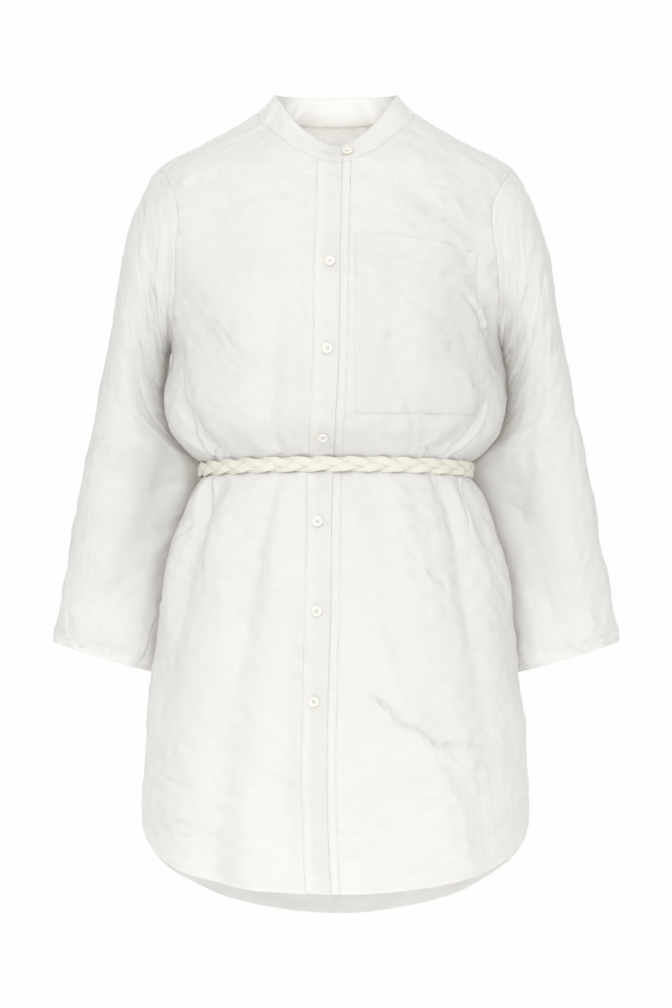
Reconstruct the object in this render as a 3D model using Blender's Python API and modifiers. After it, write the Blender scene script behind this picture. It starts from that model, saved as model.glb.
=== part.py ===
"""Belted linen blouse, worn form, hollow.

Frame: +X wearer's left, -Y front, +Z up, metres.  The origin is between the
shoulders at the level of the neck points, where the wearer carries the cloth.
Every piece of the body lies on one skin, given by an angle round the body
(0 centre front, 90 wearer's left side, 180 centre back) and a height.
"""
import math
from collections import namedtuple

import bmesh
import bpy
from mathutils import Matrix, Vector

for old in list(bpy.data.objects):
    bpy.data.objects.remove(old)

# ---- driving sizes, metres ------------------------------------------------
CLOTH = 0.0012            # wall of the panels, yoke, sleeves and pocket
DOUBLE_CLOTH = 0.0015     # wall of the collar and of the button bands
SEAM_GAP = 0.0006         # free space between two pieces at a seam
LAYER_GAP = 0.0003        # free space between two layers that lie on each other

WAIST_Z = -0.377          # middle of the belt at the sides
BELT_RISE_FRONT = 0.006   # the belt sits this much higher in front
BELT_DROP_BACK = 0.003    # and this much lower behind
BELT_SHIFT_REACH = 0.060  # height over which the cloth follows that line

HEM_SIDE_Z = -0.757       # top of the curved notch at the side seams
HEM_DROP_FRONT = 0.066
HEM_DROP_BACK = 0.126
HEM_CURVE_FRONT = 2.1     # a higher power keeps the tail flatter and rounds it near the sides
HEM_CURVE_BACK = 1.9

ARMHOLE_Z = -0.1422       # centre of the armhole
ARMHOLE_HALF = 0.0962     # half its height
ARMHOLE_FRONT = 0.075     # how far it reaches to the front
ARMHOLE_BACK = 0.066      # and to the back
ARMHOLE_STEP = 18         # degrees between its points
YOKE_FRONT_STEP = 36      # where the front yoke seam meets it, degrees from its top
YOKE_BACK_STEP = 54       # where the back yoke seam meets it
YOKE_NECK_ANGLE = 38.7    # where the front yoke seam meets the neckline
YOKE_BACK_NECK_ANGLE = 126.0   # neckline angle in line with the back corner of the yoke
YOKE_DROP_BACK = 0.003    # how far the back yoke seam falls towards the middle

BAND_WIDTH = 0.027        # both button bands
UNDER_SHOWS = 0.0095      # of the under band, beside the edge of the over band
PANEL_LIFT_RUN = 0.018    # the right front rises to the over band within this
COLLAR_RIGHT_END_X = 0.0070
COLLAR_FOOT = 0.003       # the collar follows the body this far, then leans
COLLAR_LIFT_FROM = -14.0  # angle from which its right end rises over the left one
COLLAR_LIFT_RUN = 9.0     # and the degrees that this takes

POCKET_LEFT_X = 0.020
POCKET_RIGHT_X = 0.152
POCKET_BOTTOM_Z = -0.318
POCKET_GAP = 0.0009       # it lies on the folds of the front, so it stands off a little more

BUTTON_RADIUS = 0.00575
BUTTON_HEIGHT = 0.0024
BUTTON_SEGMENTS = 12
BUTTON_GAP = 0.0004       # from the cloth under it

STRAND_RADIUS = 0.0022
BRAID_HALF_HEIGHT = 0.0055
BRAID_HALF_DEPTH = 0.0037
BRAID_PERIODS = 9
POINTS_PER_PERIOD = 9
BELT_CLEAR = 0.0010       # from the cloth to the nearest strand
STRAND_END_GAP = 0.0018   # from the knot, because the strands leave it at a slant
KNOT_SIZE = (0.026, 0.015, 0.019)
KNOT_ROUNDING = 0.004
KNOT_CLEAR = 0.0020       # from the waist line, because the cloth swells beside the belt
BELT_STEPS = 720          # points on the waist line from which the strands are spaced
BELT_LIFT_FROM_X = -0.055     # the belt rises over the band from here
BELT_LIFT_TO_X = 0.002        # and sinks again from here
BELT_LIFT_RUN = 0.020

# ---- tables ---------------------------------------------------------------
# Plan sections of the body: half width, reach to the front, reach to the back.
Section = namedtuple("Section", "z side front back")
SECTIONS = (
    Section(0.030, 0.060, 0.016, 0.036),
    Section(0.017, 0.084, 0.030, 0.054),
    Section(0.009, 0.097, 0.043, 0.066),
    Section(-0.005, 0.121, 0.057, 0.073),
    Section(-0.024, 0.157, 0.071, 0.081),
    Section(-0.034, 0.178, 0.0785, 0.085),
    Section(-0.0426, 0.191, 0.0845, 0.088),
    Section(-0.050, 0.198, 0.089, 0.091),
    Section(-0.080, 0.208, 0.104, 0.102),
    Section(-0.130, 0.211, 0.126, 0.116),
    Section(-0.180, 0.199, 0.143, 0.121),
    Section(-0.238, 0.181, 0.150, 0.118),
    Section(-0.274, 0.185, 0.150, 0.116),
    Section(-0.305, 0.187, 0.146, 0.113),
    Section(-0.335, 0.180, 0.137, 0.107),
    Section(-0.350, 0.169, 0.127, 0.101),
    Section(-0.361, 0.158, 0.118, 0.096),
    Section(-0.368, 0.148, 0.1110, 0.0928),
    Section(-0.372, 0.1438, 0.1076, 0.0904),
    Section(-0.382, 0.1438, 0.1076, 0.0904),
    Section(-0.386, 0.148, 0.1110, 0.0928),
    Section(-0.394, 0.154, 0.116, 0.097),
    Section(-0.407, 0.162, 0.122, 0.102),
    Section(-0.435, 0.173, 0.131, 0.110),
    Section(-0.470, 0.184, 0.138, 0.118),
    Section(-0.526, 0.193, 0.144, 0.127),
    Section(-0.600, 0.201, 0.148, 0.135),
    Section(-0.645, 0.206, 0.149, 0.138),
    Section(-0.700, 0.210, 0.150, 0.141),
    Section(-0.745, 0.212, 0.151, 0.142),
    Section(-0.830, 0.212, 0.152, 0.143),
    Section(-0.900, 0.211, 0.152, 0.143),
)

# Neckline and collar: height where the collar is sewn on, and its top edge,
# for an angle from the centre front (0) to the centre back (180).
Neck = namedtuple("Neck", "angle seam_z top_x top_y top_z")
NECK = (
    Neck(0.0, -0.0495, 0.0000, -0.0660, -0.0285),
    Neck(4.7, -0.0455, 0.0130, -0.0648, -0.0245),
    Neck(10.5, -0.0370, 0.0265, -0.0610, -0.0155),
    Neck(17.2, -0.0280, 0.0390, -0.0540, -0.0050),
    Neck(23.5, -0.0185, 0.0475, -0.0470, 0.0050),
    Neck(38.7, -0.0045, 0.0600, -0.0300, 0.0230),
    Neck(60.0, 0.0090, 0.0655, -0.0140, 0.0320),
    Neck(90.0, 0.0170, 0.0670, 0.0060, 0.0370),
    Neck(125.0, 0.0145, 0.0540, 0.0430, 0.0400),
    Neck(150.0, 0.0110, 0.0330, 0.0620, 0.0415),
    Neck(180.0, 0.0090, 0.0000, 0.0690, 0.0420),
)

# Front edge of the over band: it drifts to the wearer's right on its way down.
Edge = namedtuple("Edge", "z x")
EDGE = (
    Edge(-0.030, 0.0072),
    Edge(-0.145, 0.0043),
    Edge(-0.262, 0.0024),
    Edge(-0.385, -0.0035),
    Edge(-0.535, -0.0060),
    Edge(-0.620, -0.0085),
    Edge(-0.700, -0.0094),
    Edge(-0.790, -0.0072),
    Edge(-0.830, -0.0040),
)

# Soft folds: a trough (or a ridge, where the depth is negative) runs from its
# top end to its low end and has a depth at each; width is in degrees.
Fold = namedtuple("Fold", "top_angle top_z top_depth low_angle low_z low_depth width")
FOLDS = (
    # above the belt, front
    Fold(-68, -0.268, 0.002, -52, -0.362, 0.010, 6.0),
    Fold(-80, -0.300, -0.001, -66, -0.362, -0.005, 7.0),
    Fold(-20, -0.205, 0.002, -24, -0.362, 0.005, 5.0),
    Fold(18, -0.185, 0.003, 22, -0.362, 0.003, 7.0),
    Fold(64, -0.288, 0.002, 44, -0.362, 0.010, 6.0),
    Fold(78, -0.300, -0.001, 60, -0.362, -0.005, 7.0),
    Fold(36, -0.290, 0.000, 33, -0.362, 0.005, 5.0),
    Fold(40, -0.145, 0.003, 76, -0.250, 0.007, 6.5),
    Fold(22, -0.075, 0.003, 46, -0.130, 0.004, 6.0),
    Fold(-40, -0.300, 0.000, -38, -0.362, 0.004, 5.0),
    # below the belt, front
    Fold(-55, -0.392, 0.010, -62, -0.600, 0.002, 6.0),
    Fold(-70, -0.392, -0.004, -74, -0.560, -0.001, 7.0),
    Fold(-26, -0.392, 0.005, -39, -0.830, 0.008, 7.0),
    Fold(-12, -0.392, 0.003, -17, -0.830, 0.006, 5.5),
    Fold(15, -0.392, 0.004, 21, -0.600, 0.002, 5.5),
    Fold(33, -0.392, 0.005, 32, -0.480, 0.001, 5.0),
    Fold(10, -0.520, -0.001, 42, -0.800, -0.005, 6.5),
    Fold(46, -0.392, 0.008, 52, -0.720, 0.003, 6.5),
    Fold(62, -0.392, 0.007, 66, -0.470, 0.001, 5.5),
    # back, gathered by the belt in the same way
    Fold(112, -0.250, 0.002, 118, -0.362, 0.008, 7.0),
    Fold(137, -0.180, 0.002, 140, -0.362, 0.006, 7.0),
    Fold(160, -0.230, 0.001, 163, -0.362, 0.007, 6.0),
    Fold(183, -0.200, 0.002, 181, -0.362, 0.005, 6.5),
    Fold(207, -0.170, 0.003, 203, -0.362, 0.006, 6.5),
    Fold(229, -0.240, 0.001, 222, -0.362, 0.008, 7.0),
    Fold(252, -0.270, 0.001, 246, -0.362, 0.008, 7.0),
    Fold(115, -0.392, 0.009, 112, -0.640, 0.003, 7.0),
    Fold(134, -0.392, 0.006, 130, -0.860, 0.008, 8.0),
    Fold(156, -0.392, 0.007, 153, -0.700, 0.004, 7.0),
    Fold(177, -0.392, 0.005, 174, -0.880, 0.007, 7.5),
    Fold(198, -0.392, 0.006, 203, -0.740, 0.004, 7.0),
    Fold(219, -0.392, 0.006, 227, -0.860, 0.008, 8.0),
    Fold(243, -0.392, 0.009, 248, -0.620, 0.003, 7.0),
)
FOLD_END = 0.030          # a fold fades out within this past its ends
BELT_HALF = 0.008         # the belt holds the cloth smooth this far above and below
BELT_HOLD = 0.020         # and the folds reach their depth within this

# Top edge of the pocket, from its inner to its outer corner.
PocketTop = namedtuple("PocketTop", "x z")
POCKET_TOP = (
    PocketTop(0.020, -0.1285),
    PocketTop(0.050, -0.1295),
    PocketTop(0.078, -0.1325),
    PocketTop(0.116, -0.1385),
    PocketTop(0.152, -0.1470),
)

# Sleeve rings from the armhole to the cuff: outer and inner point of the ring in
# the front view, the depth of its middle and of its inner point, and half its
# depth; armhole says how much of the armhole's own outline is left in the ring.
# The arms hang a little back, so the sleeves go down behind the gathered sides.
Ring = namedtuple("Ring", "outer_x outer_z inner_x inner_z middle_y inner_y half_depth armhole")
RINGS = (
    Ring(0.1950, -0.0460, 0.1810, -0.2384, -0.0045, -0.0045, 0.0705, 1.00),
    Ring(0.2030, -0.0595, 0.1835, -0.2440, -0.0020, 0.0060, 0.0745, 0.70),
    Ring(0.2130, -0.0805, 0.1847, -0.2520, 0.0020, 0.0170, 0.0770, 0.45),
    Ring(0.2220, -0.1040, 0.1859, -0.2620, 0.0060, 0.0270, 0.0775, 0.25),
    Ring(0.2310, -0.1330, 0.1867, -0.2750, 0.0105, 0.0350, 0.0765, 0.10),
    Ring(0.2380, -0.1700, 0.1865, -0.2900, 0.0150, 0.0420, 0.0740, 0.00),
    Ring(0.2435, -0.2060, 0.1850, -0.3070, 0.0195, 0.0490, 0.0710, 0.00),
    Ring(0.2495, -0.2420, 0.1798, -0.3260, 0.0235, 0.0550, 0.0670, 0.00),
    Ring(0.2575, -0.2830, 0.1682, -0.3480, 0.0270, 0.0600, 0.0625, 0.00),
    Ring(0.2660, -0.3240, 0.1400, -0.3740, 0.0295, 0.0630, 0.0580, 0.00),
    Ring(0.2745, -0.3640, 0.1500, -0.4030, 0.0315, 0.0620, 0.0550, 0.00),
    Ring(0.2830, -0.4050, 0.1630, -0.4330, 0.0330, 0.0580, 0.0530, 0.00),
    Ring(0.2910, -0.4450, 0.1760, -0.4680, 0.0340, 0.0530, 0.0510, 0.00),
    Ring(0.2990, -0.4860, 0.1845, -0.5080, 0.0345, 0.0480, 0.0495, 0.00),
    Ring(0.3065, -0.5260, 0.1900, -0.5520, 0.0350, 0.0430, 0.0480, 0.00),
    Ring(0.3120, -0.5530, 0.1945, -0.5870, 0.0350, 0.0410, 0.0470, 0.00),
    Ring(0.3145, -0.5655, 0.1968, -0.6010, 0.0350, 0.0400, 0.0465, 0.00),
)

# Heights of the rows of points up the side seam, under the armhole.
SIDE_ROWS = (
    -0.757, -0.737, -0.700, -0.655, -0.610, -0.565, -0.520, -0.480, -0.450, -0.425,
    -0.406, -0.394, -0.386, -0.382, -0.372, -0.368, -0.360, -0.346, -0.328, -0.304, -0.274, -0.254,
)
HEM_BLEND_Z = -0.520      # the rows turn level between the hem and here
NECK_BLEND_Z = -0.215     # and from here they turn towards the neckline
NECK_COLUMNS = 9          # columns of each front that end at the neckline
YOKE_COLUMNS = 6          # and at the front yoke seam
BACK_COLUMNS = 24

# The front buttons: height, and distance from the edge of the over band.
Button = namedtuple("Button", "z inset")
BUTTONS = (
    Button(-0.1590, 0.0105),
    Button(-0.2505, 0.0120),
    Button(-0.3420, 0.0123),
    Button(-0.4325, 0.0140),
    Button(-0.5270, 0.0147),
    Button(-0.6210, 0.0140),
)
COLLAR_BUTTON = (0.0135, 0.55)    # x, and share of the way up the collar

IVORY = (0.86, 0.855, 0.83)
CREAM = (0.84, 0.81, 0.73)
SHELL = (0.85, 0.83, 0.78)


# ---- small maths ----------------------------------------------------------
def through(rows, key, value, x):
    """Smooth curve through the column `value` of a table, over its column `key`."""
    rows = sorted(rows, key=lambda row: getattr(row, key))
    xs = [getattr(row, key) for row in rows]
    ys = [getattr(row, value) for row in rows]
    x = min(max(x, xs[0]), xs[-1])
    k = 0
    while k < len(xs) - 2 and x > xs[k + 1]:
        k += 1

    def slope(i):
        low, high = max(i - 1, 0), min(i + 1, len(xs) - 1)
        return (ys[high] - ys[low]) / (xs[high] - xs[low])

    span = xs[k + 1] - xs[k]
    t = (x - xs[k]) / span
    return (
        ys[k] * (2 * t ** 3 - 3 * t ** 2 + 1)
        + slope(k) * span * (t ** 3 - 2 * t ** 2 + t)
        + ys[k + 1] * (3 * t ** 2 - 2 * t ** 3)
        + slope(k + 1) * span * (t ** 3 - t ** 2)
    )


def blend(a, b, t):
    return a + (b - a) * t


def ease(t):
    """0 below 0, 1 above 1, smooth between."""
    t = min(max(t, 0.0), 1.0)
    return t * t * (3 - 2 * t)


def turn(angle):
    """The same direction, between -180 and 180 degrees."""
    return (angle + 180) % 360 - 180


# ---- the skin of the body -------------------------------------------------
def belt_z(angle):
    c = math.cos(math.radians(angle))
    return WAIST_Z + (BELT_RISE_FRONT if c > 0 else BELT_DROP_BACK) * c


def belt_shift(angle, z):
    """How far the waist's sections and rows move with the belt, near it."""
    return (belt_z(angle) - WAIST_Z) * math.exp(-((z - WAIST_Z) / BELT_SHIFT_REACH) ** 2)


def fold_depth(angle, z):
    total = 0.0
    for fold in FOLDS:
        s = (fold.top_z - z) / (fold.top_z - fold.low_z)
        run = fold.top_z - fold.low_z
        past = max(-s, s - 1, 0.0) * run
        if past < FOLD_END:
            along = min(max(s, 0.0), 1.0)
            off = turn(angle - blend(fold.top_angle, fold.low_angle, along)) / fold.width
            depth = blend(fold.top_depth, fold.low_depth, along)
            total += depth * math.exp(-off * off) * (1 - ease(past / FOLD_END))
    held = ease((abs(z - belt_z(angle)) - BELT_HALF) / BELT_HOLD)
    return total * held


def skin(angle, z, folded=True):
    """Point of the body's outer face."""
    level = z - belt_shift(angle, z)
    side = through(SECTIONS, "z", "side", level)
    sin, cos = math.sin(math.radians(angle)), math.cos(math.radians(angle))
    reach = through(SECTIONS, "z", "front" if cos > 0 else "back", level)
    point = Vector((side * sin, -reach * cos, z))
    if folded:
        outward = Vector((sin / side, -cos / reach, 0)).normalized()
        point -= outward * fold_depth(angle, z)
    return point


def off_skin(angle, z, out):
    """Point at a distance from the skin, along its normal."""
    around = skin(angle + 0.5, z) - skin(angle - 0.5, z)
    up = skin(angle, z + 0.001) - skin(angle, z - 0.001)
    return skin(angle, z) + around.cross(up).normalized() * out


def angle_at(x, z):
    """Angle of the point of the front that has this x."""
    return math.degrees(math.asin(x / through(SECTIONS, "z", "side", z)))


def hem_z(angle):
    """Curved shirt-tail hem, deeper behind."""
    angle = abs(turn(angle))
    if angle <= 90:
        return HEM_SIDE_Z - HEM_DROP_FRONT * (1 - (angle / 90) ** HEM_CURVE_FRONT)
    return HEM_SIDE_Z - HEM_DROP_BACK * (1 - ((180 - angle) / 90) ** HEM_CURVE_BACK)


def neck_z(angle):
    return through(NECK, "angle", "seam_z", abs(turn(angle)))


def edge_x(z):
    return through(EDGE, "z", "x", z)


def armhole(step):
    """Angle and height of the armhole, for degrees from its top: front, under, back."""
    rad = math.radians(step)
    z = ARMHOLE_Z + ARMHOLE_HALF * math.cos(rad)
    if step <= 180:
        reach = ARMHOLE_FRONT * abs(math.sin(rad))
        return math.degrees(math.acos(reach / through(SECTIONS, "z", "front", z))), z
    reach = ARMHOLE_BACK * abs(math.sin(rad))
    return 180 - math.degrees(math.acos(reach / through(SECTIONS, "z", "back", z))), z


# ---- making objects -------------------------------------------------------
def material(name, colour, roughness):
    made = bpy.data.materials.new(name)
    made.use_nodes = True
    shader = made.node_tree.nodes["Principled BSDF"]
    shader.inputs["Base Color"].default_value = (*colour, 1)
    shader.inputs["Roughness"].default_value = roughness
    shader.inputs["Metallic"].default_value = 0
    return made


def add_object(name, mesh, colour, roughness=0.85):
    thing = bpy.data.objects.new(name, mesh)
    blouse.objects.link(thing)
    mesh.materials.append(material(name, colour, roughness))
    mesh.shade_smooth()
    return thing


def drawn_in(rows, tube):
    """The sheet's points with each outer edge drawn in by half the seam gap."""
    rows = [[point.copy() for point in row] for row in rows]
    for at, inner in ((0, 1), (-1, -2)):
        for k, point in enumerate(rows[at]):
            point += (rows[inner][k] - point).normalized() * SEAM_GAP / 2
    if not tube:
        for row in rows:
            for at, inner in ((0, 1), (-1, -2)):
                row[at] += (row[inner] - row[at]).normalized() * SEAM_GAP / 2
    return rows


def sheet(name, rows, wall, colour=IVORY, tube=False):
    """A wall of cloth whose outer face goes through rows of points."""
    rows = drawn_in(rows, tube)
    across, up = len(rows[0]) - 1, len(rows) - 1
    shape = bmesh.new()
    bmesh.ops.create_grid(shape, x_segments=across, y_segments=up, size=1)
    for vert in shape.verts:
        column = round((vert.co.x + 1) / 2 * across)
        row = round((vert.co.y + 1) / 2 * up)
        vert.co = rows[row][column]
    if tube:
        bmesh.ops.remove_doubles(shape, verts=shape.verts, dist=0.00002)
    mesh = bpy.data.meshes.new(name)
    shape.to_mesh(mesh)
    shape.free()
    thing = add_object(name, mesh, colour)
    thickness = thing.modifiers.new("wall", "SOLIDIFY")
    thickness.thickness = wall
    thickness.offset = -1
    return thing


# ---- fronts ---------------------------------------------------------------
def side_of(level):
    """Angle of the outer edge of a front or of the back at a row's height: (front, back)."""
    if level <= ARMHOLE_Z - ARMHOLE_HALF:
        return 90.0, 90.0
    step = math.degrees(math.acos((level - ARMHOLE_Z) / ARMHOLE_HALF))
    return armhole(step)[0], armhole(360 - step)[0]


def row_levels(top_step):
    """Heights of the rows along the outer edge, from the hem to a step of the armhole."""
    steps = range(180, top_step - 1, -ARMHOLE_STEP)
    return list(SIDE_ROWS) + [armhole(step)[1] for step in steps]


def row_z(level, bottom, top, top_level):
    """Height in a row at `level`, in a column between `bottom` and `top`."""
    low = max((HEM_BLEND_Z - level) / (HEM_BLEND_Z - HEM_SIDE_Z), 0.0)
    high = max((level - NECK_BLEND_Z) / (top_level - NECK_BLEND_Z), 0.0)
    return level + (bottom - HEM_SIDE_Z) * low + (top - top_level) * high


FRONT_LEVELS = row_levels(YOKE_FRONT_STEP)
FRONT_CORNER = armhole(YOKE_FRONT_STEP)


def band_z(level, angle):
    return row_z(level, hem_z(angle), neck_z(angle), FRONT_LEVELS[-1]) + belt_shift(angle, level)


def seam_x(z, side):
    """x of the seam between a front and its button band."""
    return edge_x(z) + (UNDER_SHOWS if side > 0 else -BAND_WIDTH)


def seam_top_angle(side):
    """Angle at which that seam meets the neckline."""
    angle = 0.0
    for _ in range(4):
        z = neck_z(angle)
        angle = angle_at(seam_x(z, side), z)
    return angle


def lift_of(x, z):
    """How far the right front rises from the skin towards the over band."""
    near = (x - (seam_x(z, -1) - PANEL_LIFT_RUN)) / PANEL_LIFT_RUN
    return (DOUBLE_CLOTH + LAYER_GAP) * ease(near)


def front(side):
    """Grid of a front: side is 1 for the wearer's left, -1 for the right."""
    top_angle = abs(seam_top_angle(side))
    corner = (YOKE_NECK_ANGLE - top_angle) / (FRONT_CORNER[0] - top_angle)
    shares = [corner * k / NECK_COLUMNS for k in range(NECK_COLUMNS)]
    shares += [blend(corner, 1, k / YOKE_COLUMNS) for k in range(YOKE_COLUMNS + 1)]
    rows = []
    for level in FRONT_LEVELS:
        row = []
        outer = side_of(level)[0]
        seam_z = band_z(level, top_angle)
        inner = side * angle_at(seam_x(seam_z, side), seam_z)
        for share in shares:
            if share <= corner:
                top = neck_z(blend(top_angle, YOKE_NECK_ANGLE, share / corner))
            else:
                along = (share - corner) / (1 - corner)
                top = blend(neck_z(YOKE_NECK_ANGLE), FRONT_CORNER[1], along)
            z = row_z(level, hem_z(90 * share), top, FRONT_LEVELS[-1]) + belt_shift(90 * share, level)
            angle = side * blend(inner, outer, share)
            lift = 0.0 if side > 0 else lift_of(skin(angle, z).x, z)
            row.append(off_skin(angle, z, lift))
        rows.append(row if side > 0 else row[::-1])
    return rows


def band(left_x, right_x, out, columns=2):
    """Grid of a button band between two distances from the edge of the over band."""
    rows = []
    for level in FRONT_LEVELS:
        z = band_z(level, 0)
        row = []
        for k in range(columns + 1):
            angle = angle_at(edge_x(z) + blend(left_x, right_x, k / columns), z)
            row.append(off_skin(angle, band_z(level, angle), out))
        rows.append(row)
    return rows


# ---- back and yoke --------------------------------------------------------
BACK_LEVELS = row_levels(YOKE_BACK_STEP)
BACK_CORNER = armhole(360 - YOKE_BACK_STEP)


def yoke_seam_z(angle):
    """Back yoke seam, nearly level."""
    across = (angle - BACK_CORNER[0]) / (360 - 2 * BACK_CORNER[0])
    return BACK_CORNER[1] - YOKE_DROP_BACK * math.sin(math.pi * across)


def back():
    rows = []
    for level in BACK_LEVELS:
        edge = side_of(level)[1]
        row = []
        for k in range(BACK_COLUMNS + 1):
            share = k / BACK_COLUMNS
            top = yoke_seam_z(blend(BACK_CORNER[0], 360 - BACK_CORNER[0], share))
            z = row_z(level, hem_z(90 + 180 * share), top, BACK_LEVELS[-1])
            z += belt_shift(90 + 180 * share, level)
            row.append(skin(blend(edge, 360 - edge, share), z))
        rows.append(row)
    return rows


def yoke_columns():
    """Pairs of neckline angle and outer (angle, z), round the back from left to right."""
    steps = range(YOKE_FRONT_STEP, -YOKE_BACK_STEP - 1, -ARMHOLE_STEP)
    outer = [armhole(step % 360) for step in steps]
    count = len(outer) - 1
    corner = YOKE_BACK_NECK_ANGLE
    columns = [(blend(YOKE_NECK_ANGLE, corner, k / count), outer[k]) for k in range(count)]
    for k in range(BACK_COLUMNS + 1):
        share = k / BACK_COLUMNS
        angle = blend(BACK_CORNER[0], 360 - BACK_CORNER[0], share)
        columns.append((blend(corner, 360 - corner, share), (angle, yoke_seam_z(angle))))
    mirrored = [(360 - neck, (360 - angle, z)) for neck, (angle, z) in columns[:count]]
    return columns + mirrored[::-1]


def yoke():
    rows = []
    for k in range(YOKE_COLUMNS + 1):
        share = 1 - k / YOKE_COLUMNS
        row = []
        for neck, (angle, z) in yoke_columns():
            row.append(skin(blend(neck, angle, share), blend(neck_z(neck), z, share)))
        rows.append(row)
    return rows


# ---- sleeves --------------------------------------------------------------
def armhole_point(step, side):
    """Point of a side's armhole, as if that side were the left one."""
    angle, z = armhole(step)
    point = skin(side * angle, z)
    cap = max(math.cos(math.radians(step)), 0.0) ** 2
    point.x = abs(point.x) + LAYER_GAP + SEAM_GAP * cap
    return point


def ring_point(ring, step):
    rad = math.radians(step)
    outer = Vector((ring.outer_x, 0, ring.outer_z))
    inner = Vector((ring.inner_x, 0, ring.inner_z))
    middle = (outer + inner) / 2
    point = middle + (outer - middle) * math.cos(rad)
    back = (ring.inner_y - ring.middle_y) * math.cos(rad)
    point.y = ring.middle_y - ring.half_depth * math.sin(rad) - back
    return point


def sleeve(side):
    steps = range(0, 361, ARMHOLE_STEP)
    rows = [[armhole_point(step % 360, side) for step in steps]]
    for ring in RINGS[1:]:
        row = []
        for step in steps:
            own = armhole_point(step % 360, side) - ring_point(RINGS[0], step)
            row.append(ring_point(ring, step) + own * ring.armhole)
        rows.append(row)
    if side < 0:
        rows = [[Vector((-point.x, point.y, point.z)) for point in row[::-1]] for row in rows]
    return rows


# ---- collar ---------------------------------------------------------------
def collar_top(angle):
    angle = turn(angle)
    size = abs(angle)
    x = through(NECK, "angle", "top_x", size)
    y = through(NECK, "angle", "top_y", size)
    z = through(NECK, "angle", "top_z", size)
    return Vector((math.copysign(x, angle), y, z))


def collar_lift(angle):
    """The right end rises over the left one, as its button band does."""
    return (DOUBLE_CLOTH + LAYER_GAP) * ease((angle - COLLAR_LIFT_FROM) / COLLAR_LIFT_RUN)


def collar_point(angle, share, lift):
    """A point of the collar's outer face, share of the way from its seam to its top."""
    z = neck_z(angle)
    seam = off_skin(angle, z, lift)
    foot = seam + (skin(angle, z) - skin(angle, z - 0.002)).normalized() * COLLAR_FOOT
    if share < 0:
        return seam
    top = collar_top(angle)
    outward = Vector((top.x, top.y, 0)).normalized()
    top = top + outward * lift
    return foot.lerp(top, share)


def collar():
    """Grid from the left end, which lies under, round the back to the right end."""
    left_top = seam_top_angle(1)
    right_top = seam_top_angle(-1)
    left_end = angle_at(seam_x(neck_z(0), 1) - BAND_WIDTH, neck_z(0))
    right_end = angle_at(COLLAR_RIGHT_END_X, neck_z(0))
    angles = [blend(left_end, left_top, k / 2) - 360 for k in range(2)]
    angles += [blend(left_top, YOKE_NECK_ANGLE, k / NECK_COLUMNS) - 360 for k in range(NECK_COLUMNS)]
    angles += [neck - 360 for neck, _ in yoke_columns()]
    angles += [blend(-YOKE_NECK_ANGLE, right_top, k / NECK_COLUMNS) for k in range(1, NECK_COLUMNS)]
    angles += [blend(right_top, right_end, k / 2) for k in range(3)]
    rows = []
    for share in (-1, 0, 0.5, 1):
        rows.append([collar_point(angle, share, collar_lift(angle)) for angle in angles])
    return rows


# ---- pocket ---------------------------------------------------------------
def pocket(columns=11, rows=11):
    grid = []
    for j in range(rows + 1):
        row = []
        for k in range(columns + 1):
            x = blend(POCKET_LEFT_X, POCKET_RIGHT_X, k / columns)
            z = blend(POCKET_BOTTOM_Z, through(POCKET_TOP, "x", "z", x), j / rows)
            row.append(off_skin(angle_at(x, z), z, POCKET_GAP + CLOTH))
        grid.append(row)
    return grid


# ---- buttons --------------------------------------------------------------
def button(name, centre, outward, up):
    """A turned button with a raised rim, its back face at `centre`."""
    radius, height = BUTTON_RADIUS, BUTTON_HEIGHT
    profile = (
        (0, height * 0.70),
        (radius * 0.66, height * 0.70),
        (radius * 0.82, height),
        (radius, height * 0.75),
        (radius * 0.90, 0),
        (0, 0),
    )
    mesh = bpy.data.meshes.new(name)
    count = len(profile)
    mesh.from_pydata([(x, 0, z) for x, z in profile], [(k, k + 1) for k in range(count - 1)], [])
    thing = add_object(name, mesh, SHELL, 0.35)
    turned = thing.modifiers.new("turned", "SCREW")
    turned.steps = BUTTON_SEGMENTS
    turned.render_steps = BUTTON_SEGMENTS
    turned.use_merge_vertices = True
    turned.merge_threshold = 0.00002
    side = up.cross(outward).normalized()
    up = outward.cross(side)
    facing = Matrix((side, up, outward)).transposed().to_4x4()
    thing.matrix_world = Matrix.Translation(centre) @ facing
    return thing


def front_buttons():
    for number, row in enumerate(BUTTONS, start=1):
        angle = angle_at(edge_x(row.z) - row.inset, row.z)
        face = DOUBLE_CLOTH + LAYER_GAP
        outward = (off_skin(angle, row.z, 0.01) - skin(angle, row.z)).normalized()
        centre = off_skin(angle, row.z, face) + outward * BUTTON_GAP
        button(f"button_{number}", centre, outward, Vector((0, 0, 1)))


def collar_button():
    x, share = COLLAR_BUTTON
    angle = angle_at(x, neck_z(0))
    at = collar_point(angle, share, 0)
    up = collar_point(angle, 1, 0) - collar_point(angle, 0, 0)
    around = collar_point(angle + 1, share, 0) - collar_point(angle - 1, share, 0)
    outward = around.cross(up).normalized()
    button("button_collar", at + outward * BUTTON_GAP, outward, up)


# ---- belt -----------------------------------------------------------------
def belt_path(count):
    """Points at even distances round the waist from the knot, with their outward direction."""
    around = [180 + 360 * k / BELT_STEPS for k in range(BELT_STEPS + 1)]
    line = [skin(angle, belt_z(angle), folded=False) for angle in around]
    gone = [0.0]
    for k in range(BELT_STEPS):
        gone.append(gone[-1] + (line[k + 1] - line[k]).length)
    half_gap = KNOT_SIZE[0] / 2 + STRAND_END_GAP
    path = []
    k = 0
    for n in range(count + 1):
        target = blend(half_gap, gone[-1] - half_gap, n / count)
        while gone[k + 1] < target:
            k += 1
        point = line[k].lerp(line[k + 1], (target - gone[k]) / (gone[k + 1] - gone[k]))
        along = line[k + 1] - line[k]
        path.append((point, along.cross(Vector((0, 0, 1))).normalized()))
    return path


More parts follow.
